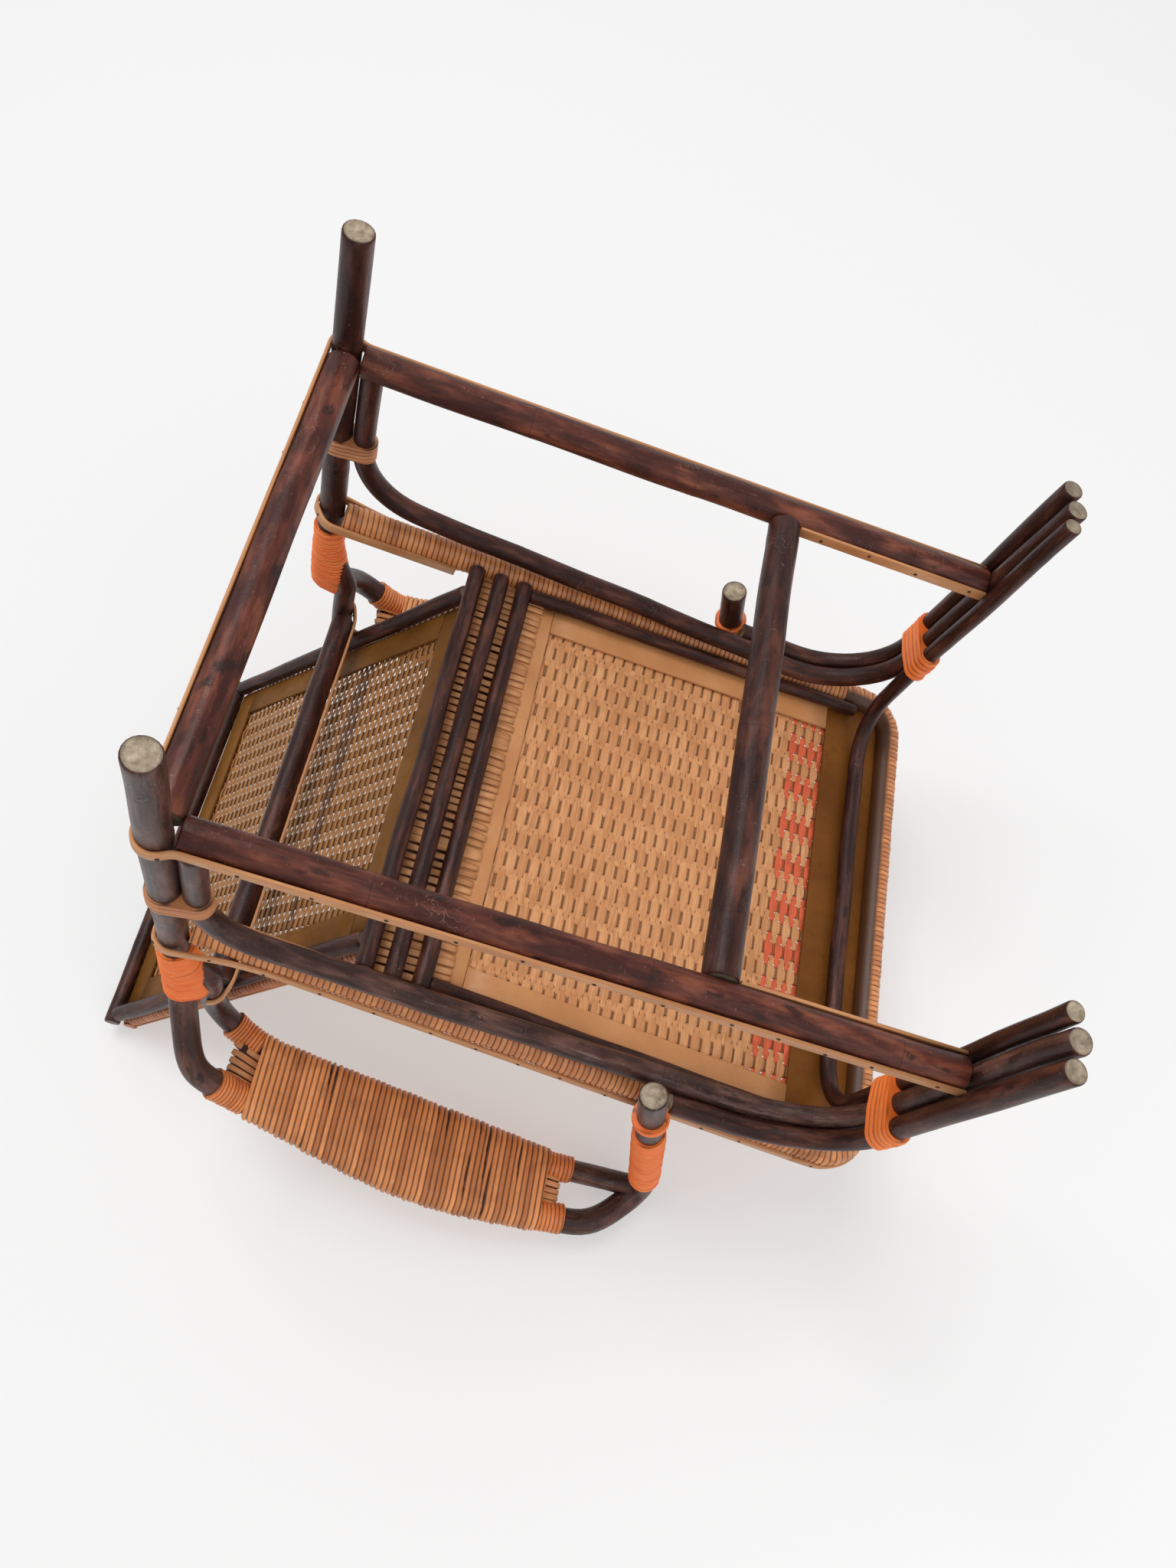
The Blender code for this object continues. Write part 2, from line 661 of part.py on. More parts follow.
def tangent_arc(start, centre, radius, end):
    """Points anticlockwise round a circle, from start's tangent to end's tangent."""
    to_start = start - centre
    to_end = end - centre
    first = math.atan2(to_start.y, to_start.x) + math.acos(radius / to_start.length)
    last = math.atan2(to_end.y, to_end.x) - math.acos(radius / to_end.length)
    while last < first:
        last += 2 * math.pi
    steps = max(LEAST_BEND_STEPS, math.ceil((last - first) / BEND_STEP))
    angles = [first + (last - first) * step / steps for step in range(steps + 1)]
    return [centre + Vector((math.cos(a), math.sin(a))) * radius for a in angles]


def make_stretchers():
    side_r = SIDE_STRETCHER_D / 2
    rear_r = REAR_STRETCHER_D / 2
    post = post_at(STRETCHER_Z)
    leg, _ = section(SIDE_HOOP_PATH, 2, STRETCHER_Z, SIDE_HOOP_R)
    posts = [(mirrored(ARM_PATH, side), ARM_R) for side in SIDES.values()]
    rear_y = post.y + ARM_R - rear_r
    rear_middle = Vector((0.0, rear_y, STRETCHER_Z))
    rear_end = reach(rear_middle, Vector((1.0, rear_y, STRETCHER_Z)), rear_r, posts)
    rear_run = mirrored([rear_end], -1) + [rear_end]
    tube("rear_stretcher", rear_run, rear_r, "red_pole")

    back = Vector((post.x - STRETCHER_POST_INSET, post.y, STRETCHER_Z))
    front = Vector((leg.x - STRETCHER_LEG_INSET, leg.y, STRETCHER_Z))
    middle = back.lerp(front, 0.5)
    legs = [(SIDE_HOOP_PATH, SIDE_HOOP_R), (BRACE_PATH, BRACE_R), (FRONT_HOOP_PATH, FRONT_HOOP_R)]
    back_end = reach(middle, back, side_r, [(ARM_PATH, ARM_R), (rear_run, rear_r)])
    front_end = reach(middle, front, side_r, legs)
    side_run = [back_end, front_end]
    for word, side in SIDES.items():
        tube("side_stretcher_" + word, mirrored(side_run, side), side_r, "red_pole")

    cross = Vector((0.0, MIDDLE_STRETCHER_Y, STRETCHER_Z))
    cross_end = reach(cross, cross + Vector((1.0, 0.0, 0.0)), MIDDLE_STRETCHER_D / 2, [(side_run, side_r)])
    tube("middle_stretcher", mirrored([cross_end], -1) + [cross_end], MIDDLE_STRETCHER_D / 2, "red_pole")
    make_stretcher_strips(side_run, side_r, rear_run, rear_r)


def make_stretcher_strips(side_run, side_r, rear_run, rear_r):
    """One long strip nailed round the outside of the stretchers, and two short inner strips."""
    along = (side_run[1] - side_run[0]).to_2d().normalized()
    outward = Vector((-along.y, along.x))
    off = outward * (side_r + STRIP_OFF)
    front = side_run[1].to_2d() + off
    knee = side_run[0].to_2d() + off
    rear_y = rear_run[1].y + rear_r + STRIP_OFF
    turn = Vector((rear_run[1].x, rear_y))
    post = post_at(STRETCHER_Z).to_2d()
    lean = abs(POST_LEAN_Y_RATIO) * STRIP_WIDE / 2
    half = [front, knee, *tangent_arc(knee, post, ARM_R + lean + STRIP_OFF, turn), turn]
    path = half + mirrored(half[::-1], -1)
    height = (0.0, 0.0, STRETCHER_Z)
    plate("stretcher_strip", ribbon(path, STRIP_THICK), STRIP_WIDE, "pale_strip", height)

    gap = MIDDLE_STRETCHER_D / 2 + CLEAR
    start_share = (side_run[0].y - MIDDLE_STRETCHER_Y + gap) / (side_run[0].y - side_run[1].y)
    short = [side_run[0].lerp(side_run[1], start_share).to_2d() - off, side_run[1].to_2d() - off]
    for word, side in SIDES.items():
        outline = ribbon(mirrored(short, side), STRIP_THICK)
        plate("stretcher_inner_strip_" + word, outline, STRIP_WIDE, "pale_strip", height)


def make_seat_rails():
    """Cane-wrapped rails round the seat, and the poles and bars below the woven panel."""
    start = seat_point(rail_x(SEAT_CORNER_JOIN), SEAT_CORNER_JOIN, 0.0)
    toward = seat_point(rail_x(0.0), 0.0, 0.0)
    rear = reach(start, toward, RAIL_R, [(ARM_PATH, ARM_R), (INNER_PATH, INNER_R)])
    rail = [rear, start]
    step = (start - rear).normalized() * CLEAR
    corner = seat_point(rail_x(SEAT_FRONT), SEAT_FRONT, 0.0)
    half = [start + step, corner]
    front = bent(half + mirrored(half[::-1], -1), [SEAT_CORNER_BEND, SEAT_CORNER_BEND])
    tube("seat_front_rail", front, RAIL_R, "wrapped_cane")
    bar_three = BAR_PLACES[2] + BAR_R + CLEAR
    hoop = FRONT_HOOP_AT - FRONT_HOOP_R - CLEAR
    inset = RAIL_R + CLEAR + SIDE_POLE_R
    side_pole = [seat_point(rail_x(place) - inset, place, SIDE_POLE_RISE) for place in (bar_three, hoop)]
    for word, side in SIDES.items():
        tube("seat_side_rail_" + word, mirrored(rail, side), RAIL_R, "wrapped_cane")
        tube("seat_side_pole_" + word, mirrored(side_pole, side), SIDE_POLE_R, "dark_pole")
    names = ("back_bottom_bar", "seat_rear_bar", "seat_under_batten")
    for name, place in zip(names, BAR_PLACES):
        middle = seat_point(0.0, place, BAR_RISE)
        end = reach(middle, middle + Vector((1.0, 0.0, 0.0)), BAR_R, [(rail, RAIL_R)])
        tube(name, mirrored([end], -1) + [end], BAR_R, "dark_pole")


def inside_half(forward, margin=0.0):
    """Half width between the side rails, less a margin."""
    return rail_x(forward) - RAIL_R / math.cos(math.atan(SEAT_FLARE_RATIO)) - CLEAR - margin


def across(places, margins=(0.0, 0.0)):
    """A four-cornered outline between the side rails, from one place to another forward of it."""
    near, far = places
    wide_near = inside_half(near, margins[0])
    wide_far = inside_half(far, margins[1])
    return [(-wide_near, -near), (wide_near, -near), (wide_far, -far), (-wide_far, -far)]


def make_seat_sheets(seat):
    """Woven panel, the wrapped rear rail below it, and the flat border strips under its edges."""
    front = SEAT_FRONT - RAIL_R - CLEAR
    corner = RAIL_R + SEAT_CORNER_BEND
    rear_edge = BAR_PLACES[0] + BAR_R + CLEAR
    near = inside_half(rear_edge)
    far = inside_half(front - corner)
    tip = far - corner
    stops = [(-front, tip), (corner - front, far), (-rear_edge, near)]
    woven_plate("seat_panel", stops, (0, 0, SEAT_PANEL_RISE), seat)

    rail_low = CLEAR
    rail_high = PANEL_LOW - CLEAR
    rear_end = BAR_PLACES[2] + BAR_R
    plate("seat_rear_rail", across((rear_edge, rear_end)), rail_high - rail_low, "wrapped_cane",
          (0, 0, (rail_low + rail_high) / 2), seat)
    border_end = rear_end + CLEAR + REAR_BORDER_WIDE
    rear_border = across((rear_end + CLEAR, border_end))
    plate("seat_border_rear", rear_border, BORDER_THICK, "pale_strip", (0, 0, BORDER_RISE), seat)
    front_start = FRONT_BORDER_START
    front_half = tip
    front_border = [(-front_half, -front_start), (front_half, -front_start), (front_half, -front),
                    (-front_half, -front)]
    plate("seat_border_front", front_border, BORDER_THICK, "pale_strip", (0, 0, BORDER_RISE), seat)
    near_place = border_end + CLEAR
    far_place = front_start - CLEAR
    outer = [inside_half(place) for place in (near_place, far_place)]
    inner = [half - SIDE_BORDER_WIDE for half in outer]
    for word, side in SIDES.items():
        outline = [(inner[0] * side, -near_place), (outer[0] * side, -near_place),
                   (outer[1] * side, -far_place), (inner[1] * side, -far_place)]
        plate("seat_border_" + word, outline, BORDER_THICK, "pale_strip", (0, 0, BORDER_RISE), seat)


def make_seat_trim(seat):
    """Nailed strips round the seat's edge; each side strip loops round its rear post."""
    post = post_on_seat(TRIM_RISE)
    lean = (abs(POST_LEAN_Y_RATIO) + SEAT_SLOPE_RATIO) * STRIP_WIDE / 2
    radius = ARM_R + lean + STRIP_OFF
    join = SEAT_CORNER_JOIN
    outer = [Vector((rail_x(place) + TRIM_OFF, -place)) for place in (join, TRIM_KNEE)]
    inner = [Vector((rail_x(place) - TRIM_OFF, -place)) for place in (0.0, TRIM_INNER_END)]
    path = [*outer, *tangent_arc(outer[1], post, radius, inner[0]), *inner]
    for word, side in SIDES.items():
        outline = ribbon(mirrored(path, side), STRIP_THICK)
        plate("seat_trim_" + word, outline, STRIP_WIDE, "pale_strip", (0, 0, TRIM_RISE), seat)
    start = Vector((rail_x(join + CLEAR) + TRIM_OFF, -(join + CLEAR), 0.0))
    corner = Vector((rail_x(SEAT_FRONT) + TRIM_OFF, -(SEAT_FRONT + TRIM_OFF), 0.0))
    half = [start, corner]
    bend = SEAT_CORNER_BEND + TRIM_OFF
    front = bent(half + mirrored(half[::-1], -1), [bend, bend])
    outline = ribbon([point.to_2d() for point in front], STRIP_THICK)
    plate("seat_trim_front", outline, STRIP_WIDE, "pale_strip", (0, 0, TRIM_RISE), seat)


STRIP_FRONT_Y = inner_at(CROSS_RAIL_Z).y - CROSS_RAIL_FORWARD - CROSS_R - STRIP_OFF - STRIP_THICK / 2
BACK_FOOT = seat_point(0.0, BACK_BAR_AT, BAR_RISE)


def back_recline():
    """Angle from upright at which the side poles rest on the upper edge of the cross rail's strip."""
    behind = STRIP_FRONT_Y - BACK_FOOT.y
    above = CROSS_RAIL_Z + STRIP_WIDE / 2 - BACK_FOOT.z
    return math.atan2(behind, above) - math.asin((BACK_R + CLEAR) / math.hypot(behind, above))


RECLINE = back_recline()
PASSING_Z = ARM_HEIGHT - INNER_POST_BEND / 2
PASSING_LENGTH = (PASSING_Z - BACK_FOOT.z) / math.cos(RECLINE)
PASSING_HALF = inner_at(PASSING_Z).x - INNER_R - BACK_R - BACK_SIDE_CLEAR


def make_cross_rail():
    """Rail between the inner arm rails behind the back, with a strip looped round both of them."""
    rail = inner_at(CROSS_RAIL_Z)
    middle = Vector((0.0, rail.y - CROSS_RAIL_FORWARD, CROSS_RAIL_Z))
    end = reach(middle, middle + Vector((1.0, 0.0, 0.0)), CROSS_R, [(INNER_PATH, INNER_R)])
    tube("back_cross_rail", mirrored([end], -1) + [end], CROSS_R, "dark_pole")
    lean = abs(POST_LEAN_Y_RATIO) * STRIP_WIDE / 2
    ring = INNER_R + lean + STRIP_OFF
    knee = Vector((end.x, STRIP_FRONT_Y + STRIP_THICK / 2))
    centre = rail.to_2d()
    to_knee = knee - centre
    first = math.atan2(to_knee.y, to_knee.x) + math.acos(ring / to_knee.length)
    steps = math.ceil(-first / BEND_STEP)
    angles = [first - first * step / steps for step in range(steps + 1)]
    half = [knee] + [centre + Vector((math.cos(a), math.sin(a))) * ring for a in angles]
    path = mirrored(half[::-1], -1) + half
    plate("cross_rail_strip", ribbon(path, STRIP_THICK), STRIP_WIDE, "pale_strip",
          (0.0, 0.0, CROSS_RAIL_Z))


def back_half(length):
    """Half width between the axes of the back's side poles, at a length up the back."""
    return PASSING_HALF + BACK_FLARE_RATIO * (length - PASSING_LENGTH)


def back_sheet(low, high, margin_low, margin_high):
    """Outline across the back between two lengths, kept in from the side poles' axes."""
    wide_low = back_half(low) - margin_low
    wide_high = back_half(high) - margin_high
    return [(-wide_low, low), (wide_low, low), (wide_high, high), (-wide_high, high)]


def make_back():
    """Reclining back: it stands on its bottom bar and leans on the cross rail's strip."""
    frame = Matrix.Translation(BACK_FOOT) @ Matrix.Rotation(math.pi / 2 - RECLINE, 4, "X")
    back = add_empty("back_frame", frame)
    start = BAR_R + BACK_R * BACK_FLARE_RATIO + CLEAR
    end = BACK_LENGTH - BACK_R * (1 + BACK_FLARE_RATIO) - CLEAR
    top_half = back_half(BACK_LENGTH)
    sheet_rise = BACK_R + CLEAR + PANEL_THICK / 2
    front_rise = sheet_rise + PANEL_THICK / 2 + CLEAR + BACK_FRONT_R
    border_rise = sheet_rise - PANEL_THICK / 2 - CLEAR - BORDER_THICK / 2
    top = Vector((top_half + BACK_R, BACK_LENGTH, 0.0))
    tube("back_top_rail", [frame @ point for point in mirrored([top], -1) + [top]], BACK_R, "dark_pole")
    front_top = Vector((top_half + BACK_FRONT_R, BACK_LENGTH, front_rise))
    front_run = mirrored([front_top], -1) + [front_top]
    tube("back_front_top", [frame @ point for point in front_run], BACK_FRONT_R, "pale_strip")
    front_end = BACK_LENGTH - BACK_FRONT_R * (1 + BACK_FLARE_RATIO) - CLEAR
    pole = [Vector((back_half(start), start, 0.0)), Vector((back_half(end), end, 0.0))]
    front_pole = [Vector((back_half(place), place, front_rise)) for place in (BACK_PANEL_START, front_end)]
    side_border_low = BACK_PANEL_START + BACK_BORDER_WIDE + CLEAR
    side_border_high = BACK_LENGTH - BACK_R - CLEAR - BACK_BORDER_WIDE - CLEAR
    margin = BACK_R + CLEAR
    for word, side in SIDES.items():
        run = [frame @ point for point in mirrored(pole, side)]
        tube("back_side_pole_" + word, run, BACK_R, "dark_pole")
        run = [frame @ point for point in mirrored(front_pole, side)]
        tube("back_front_pole_" + word, run, BACK_FRONT_R, "pale_strip")
        outline = [((back_half(place) - inset) * side, place) for place, inset in (
            (side_border_low, margin), (side_border_high, margin),
            (side_border_high, margin + BACK_BORDER_WIDE), (side_border_low, margin + BACK_BORDER_WIDE))]
        plate("back_border_" + word, outline, BORDER_THICK, "pale_strip", (0, 0, border_rise), back)
    stops = [(place, back_half(place)) for place in (BACK_PANEL_START, BACK_LENGTH)]
    woven_plate("back_panel", stops, (0, 0, sheet_rise), back)
    low = back_sheet(BACK_PANEL_START, BACK_PANEL_START + BACK_BORDER_WIDE, margin, margin)
    plate("back_border_bottom", low, BORDER_THICK, "pale_strip", (0, 0, border_rise), back)
    high_start = side_border_high + CLEAR
    high = back_sheet(high_start, high_start + BACK_BORDER_WIDE, margin, margin)
    plate("back_border_top", high, BORDER_THICK, "pale_strip", (0, 0, border_rise), back)


def centre_over_origin():
    """Moves the whole chair so that the floor below its middle is the origin."""
    depsgraph = bpy.context.evaluated_depsgraph_get()
    places = []
    for item in CHAIR.objects:
        if item.type == "CURVE":
            solid = item.evaluated_get(depsgraph).to_mesh()
            places += [(item.matrix_world @ vertex.co).y for vertex in solid.vertices]
    CHAIR_FRAME.location.y = -(min(places) + max(places)) / 2


SEAT_EMPTY = add_empty("seat_frame", SEAT)
make_poles()
make_stretchers()
make_seat_rails()
make_seat_sheets(SEAT_EMPTY)
make_seat_trim(SEAT_EMPTY)
make_cross_rail()
make_back()
make_windings()
centre_over_origin()
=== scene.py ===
"""Rattan armchair, dressed: stained bent poles, cane windings, split-cane strips and woven sheets.

Metres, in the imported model's frame: +Z up, -Y the way the sitter faces, +X the sitter's left.
The photograph shows the chair lying upside down, so its pale ground is a plane across the arms' fronts
and the top of the back, seen from the chair's side only. Upright views have a floor at the feet.
"""
import math
import random

import bpy
import numpy as np
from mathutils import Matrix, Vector, noise


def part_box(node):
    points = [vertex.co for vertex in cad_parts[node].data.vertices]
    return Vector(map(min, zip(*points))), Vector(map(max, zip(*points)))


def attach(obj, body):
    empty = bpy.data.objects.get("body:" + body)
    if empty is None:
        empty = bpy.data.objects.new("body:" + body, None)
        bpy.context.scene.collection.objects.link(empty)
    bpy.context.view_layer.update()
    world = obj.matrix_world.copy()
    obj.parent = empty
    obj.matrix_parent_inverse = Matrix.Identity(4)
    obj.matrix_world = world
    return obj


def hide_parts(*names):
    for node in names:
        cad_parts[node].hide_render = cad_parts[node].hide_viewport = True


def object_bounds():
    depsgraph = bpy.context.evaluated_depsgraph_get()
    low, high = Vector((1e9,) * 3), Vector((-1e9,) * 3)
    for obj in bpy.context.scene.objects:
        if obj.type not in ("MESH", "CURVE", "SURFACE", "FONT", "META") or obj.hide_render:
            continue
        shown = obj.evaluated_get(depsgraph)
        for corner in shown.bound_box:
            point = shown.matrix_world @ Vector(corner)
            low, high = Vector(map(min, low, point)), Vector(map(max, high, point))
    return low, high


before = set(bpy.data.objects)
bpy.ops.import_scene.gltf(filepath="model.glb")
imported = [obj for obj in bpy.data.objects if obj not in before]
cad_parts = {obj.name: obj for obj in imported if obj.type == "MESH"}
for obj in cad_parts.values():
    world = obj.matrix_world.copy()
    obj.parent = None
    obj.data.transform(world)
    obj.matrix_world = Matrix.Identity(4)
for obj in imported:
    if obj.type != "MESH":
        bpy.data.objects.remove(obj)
CAD_LOW, CAD_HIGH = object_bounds()
SIDES = ("left", "right")
ACROSS = Vector((1.0, 0.0, 0.0))
UPRIGHT = Vector((0.0, 0.0, 1.0))
FLAT = 0.99999               # agreement of two normals of one flat face
SQUARE = 0.3                 # a corner is square when its two ways agree less than this
SHEET_STEP = 0.002

# Camera, solved from the photograph of 1536 by 2048 pixels
CAMERA_PLACE = (0.48629, 0.18565, -0.63400)
CAMERA_TURN = (0.42423, 2.84010, 1.37629)
CAMERA_LENS = 27.07          # for a sensor 36 mm along the longer side
CAMERA_SENSOR = 36.0

# Poles
POLE_CORNERS = 12            # corners of a pole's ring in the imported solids
POLE_SIDES = 20
RING_STEP = 0.007
BEND_POINTS = 6
KNUCKLE_APART = (0.12, 0.21)
KNUCKLE_SPREAD = (-0.009, -0.005, -0.003, -0.0015, -0.0007, 0.0, 0.0007, 0.0015, 0.003, 0.005, 0.009)
KNUCKLE_RISE = 0.022         # share of the radius
KNUCKLE_NICK = 0.018
OUT_OF_ROUND = 0.040
WANDER = 0.0013              # how far a pole's axis strays from true
END_EASE = ((0.0, 0.90), (0.0006, 0.965), (0.0020, 1.0))
END_CLEAR = 0.001
KNUCKLE_MARGIN = (0.03, 0.015)   # from a pole's start and from its end
KNUCKLE_WIDE = 0.0045
KNUCKLE_NICK_WIDE = 0.0008
KNUCKLE_STAIN = ((0.6, 0.0055), (0.4, 0.0009))   # strength and width of its two dark rings
WANDER_RATE = 11.0
WANDER_FADE = 0.03           # length over which the wander dies away at the ends
UNEVEN_AROUND = 0.9
UNEVEN_ALONG = 10.0

# Windings: rows of points in a turn, and how deep the groove between turns goes
TURN_ROWS = 7
GROOVE_SHARE = 0.35
STRAND_UNEVEN = 0.16
BINDING_COLUMNS = 28
PAD_COLUMNS = 60
LEG_COLUMNS = 40
TIE_COLUMNS = 36
EDGE_COLUMNS = 18
CIRCLE_POINTS = 64
MOST_SLANT = 1.25            # by which a slanted pole's section counts as longer
SLIT_WIDE = (0.2, 0.46)      # shares of a turn's width
SLIT_LONG = (0.10, 0.3)      # shares of the way round
BARE_HEIGHT = 0.8            # share of a strand's thickness where no cane shows
BARE_BLEND = 0.2
BINDING_PITCH = 0.0043
BINDING_THICK = 0.0034
PAD_PITCH = 0.0056
PAD_THICK = 0.0042
PAD_GROOVE = 0.45
PAD_LOOSE = 0.25             # share of loose turns
POST_LOOSE = 0.06
POST_PITCH = {"left": 0.0029, "right": 0.0040}
POST_MORE = 0.032            # by which the post's binding goes on past the inner rail's start
RAIL_PITCH = 0.0052
RAIL_THICK = 0.0030
RAIL_GROOVE = 0.74
RAIL_LIFT = 0.0006
LEG_PITCH = 0.0064
RAIL_END_SLANT = 0.048       # over which a post's binding swells towards the inner rail's end
RAIL_END_SWELL = 0.47        # share of the way to the rail that it reaches
RAIL_TAIL_DROP = 0.016       # below the inner rail's front end, where it meets the arm's drop
HOOP_TAIL = 0.018
RAIL_LEAD = ((0.030, 0.42, 0.45), (0.012, 0.62, 0.80))   # below the binding's top: drop, share, thickness
TIE_PITCH = 0.0052
TIE_THICK = 0.0026
TIE_INSET = 0.004
DROP_RING_BELOW = 0.037      # under the drop's binding
DROP_RING_LONG = 0.0075
DROP_RING_PITCH = 0.0037
DROP_RING_THICK = 0.0040
EDGE_PITCH = 0.0062
EDGE_THICK = 0.0022
EDGE_LIFT = 0.0004
EDGE_STRIP_OUT = 0.0012
EDGE_STRIP_THICK = 0.0024
EDGE_STRIP_WIDE = 0.0095

# Pads: the bare strips at each end, and the short bindings on the rails there
PAD_BARE_REAR = 0.026
PAD_BARE_FRONT = 0.018
PAD_STRIPS = 5
PAD_STRIP_WIDE = 0.0057
PAD_STRIP_THICK = 0.0022
PAD_STRIP_DEPTH = 0.0065     # below the rails' axes
PAD_STRIP_FIRST = 0.24       # share of the way from the outer rail to the inner one
PAD_STRIP_SPAN = 0.52
PAD_STRIP_RUN = ((-0.5, 1.0), (0.0, 1.0), (0.55, 0.95), (0.86, 0.62), (0.99, 0.0))   # way out, depth
# A dark stained sheet between the rails behind each end's bare strips, which stands as painted shade in the
# gaps between them
PAD_SHADE_BACKING_STEPS = (-0.5, 0.0, 0.3, 0.6, 0.88)
PAD_SHADE_BACKING_WIDE = 0.66
END_BINDING_LONG = {1: 0.034, -1: 0.026}
END_BINDING_THICK = 0.0026

# Flat strips and nails
STRIP_ROUND = 0.0011
STRIP_ROUND_SHARE = 0.45     # of the thickness, at most
CORNER_STEPS = 3
NAIL_APART = 0.043
NAIL_RADIUS = 0.0016
NAIL_RISE = 0.0009
NAIL_SIDES = 10
NAIL_FOOT = -0.0008
NAIL_PROFILE = ((0.0, 1.0), (0.35, 0.94), (0.75, 0.70), (1.0, 0.35))   # shares of rise and radius
BOARD_ROUND = 0.0008
BOARD_STEP = 0.03
FRONT_STRAIGHT = 0.17        # half length of the front rail's straight part
FRONT_BEND_Y = -0.28         # about which its corners bend
BOARD_LET_IN = 0.003         # how far the front border's edge goes into the rail's winding
FRONT_BOARD_LEAST = 0.006    # depth at which the front border ends beside the corners
FRONT_BOARD_CURVED = 0.05    # length of each end with closer sections

# Weaves: narrow wefts from side to side, over and under broad flat warps
WEFT_PITCH = 0.00565
WARP_PITCH = 0.0228
WEFT_WIDE = 0.0101
WARP_WIDE = 0.0118
BACK_WEFT_PITCH = 0.0048
BACK_WARP_PITCH = 0.0204
BACK_WEFT_WIDE = 0.0047
BACK_WARP_WIDE = 0.0106
OPEN_WEFT_WIDE = 0.0050      # beside the holes of an open weave
HOLE_PART = 0.0011           # how far two wefts part beside a warp, which leaves a small hole
HOLE_OFF = 0.0072            # from the warp's middle
HOLE_LONG = 0.0015
STRAND_THICK = 0.0011
WARP_THICK_SHARE = 0.8
WEFT_JOG = 0.00025
WEFT_SWAY = 0.0003
WEFT_RISE = 0.0014
WEFT_LEVEL = 0.42            # share of the wave in which wefts lie level between two warps
WEFT_CLIMB = 0.45            # share in which they climb onto a warp
WEFT_STOPS = (-0.43, -0.335, -0.235, -0.13, 0.0, 0.13, 0.235, 0.335, 0.43)   # shares of one warp's pitch
WEAVE_MARGIN = 0.0015
RED_BAND = 0.041             # behind the front border's edge
RED_UNDER = 0.03             # how far the red goes on under the border
BROWN_BAND = (-0.0830, -0.0580)  # along the back's sheet from its middle
BROWN_EDGE = 0.006
BROWN_SLANT = 0.06

# Rear band of the seat: flat strands across its bars, with loose ends under the rear border
BAND_PITCH = 0.0078
BAND_WIDE = 0.0069
BAND_THICK = 0.0018
BAND_FRINGE = 0.0186
BAND_RISE = 0.0012
BAND_OVERHANG = 0.004

# Stage
GROUND_TONE = (0.86, 0.86, 0.865, 1.0)
GROUND_GLOW = 0.40           # share of the pale ground's own light, which keeps its shadows soft and grey
GROUND_LEVEL = 0.95
STAGE_HALF = 40.0
GRAZING = (0.60, 0.66)       # a surface of the stage fades out where it is seen more edge-on than this
GROUND_GAP = 0.004
ROOM_LIGHT = 0.58
ROOM_SEEN = 0.90             # the room's level where the camera sees it
LAMP_AIM = Vector((0.0, 0.0, 0.4))
LAMPS = (("key_below", (-1.10, 2.50, -3.79), 122.0, 2.6),   # place, power, size
         ("fill_below", (1.6, -1.2, -1.6), 22.0, 2.4),
         ("key_above", (-1.3, -1.6, 3.0), 38.0, 2.2))


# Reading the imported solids

def corners_and_faces(node):
    """A node's corners and triangles, with the copies of each corner joined."""
    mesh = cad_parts[node].data
    seen = {}
    places = []
    link = []
    for vertex in mesh.vertices:
        key = tuple(round(value, 5) for value in vertex.co)
        if key not in seen:
            seen[key] = len(places)
            places.append(Vector(vertex.co))
        link.append(seen[key])
    faces = [tuple(link[corner] for corner in face.vertices) for face in mesh.polygons]
    return places, [face for face in faces if len(set(face)) == 3]


def face_normal(places, face):
    first, second, third = (places[corner] for corner in face)
    return (second - first).cross(third - first).normalized()


def flat_groups(places, faces):
    """Sets of corners of the flat faces, each joined again from its triangles."""
    normals = [face_normal(places, face) for face in faces]
    on_edge = {}
    for index, face in enumerate(faces):
        for a, b in zip(face, face[1:] + face[:1]):
            on_edge.setdefault(frozenset((a, b)), []).append(index)
    left = set(range(len(faces)))
    groups = []
    while left:
        queue = [left.pop()]
        group = set()
        while queue:
            index = queue.pop()
            face = faces[index]
            group.update(face)
            for a, b in zip(face, face[1:] + face[:1]):
                for other in on_edge[frozenset((a, b))]:
                    if other in left and normals[other].dot(normals[index]) > FLAT:
                        left.discard(other)
                        queue.append(other)
        groups.append(group)
    return groups


def middle_of(places):
    return sum(places, Vector()) / len(places)


def pole_line(node):
    """Centre points of a round pole, ring by ring from its lower end, and its radius."""
    places, faces = corners_and_faces(node)
    beside = [set() for _ in places]
    for face in faces:
        for corner in face:
            beside[corner].update(face)
    ends = [group for group in flat_groups(places, faces) if len(group) == POLE_CORNERS]
    ring = min(ends, key=lambda group: tuple(middle_of([places[c] for c in group]).zxy))
    radius = np.mean([(places[c] - middle_of([places[d] for d in ring])).length for c in ring])
    centres = []
    seen = set()
    while ring:
        centres.append(middle_of([places[corner] for corner in ring]))
        seen |= ring
        ring = set().union(*(beside[corner] for corner in ring)) - seen
    return centres, float(radius)


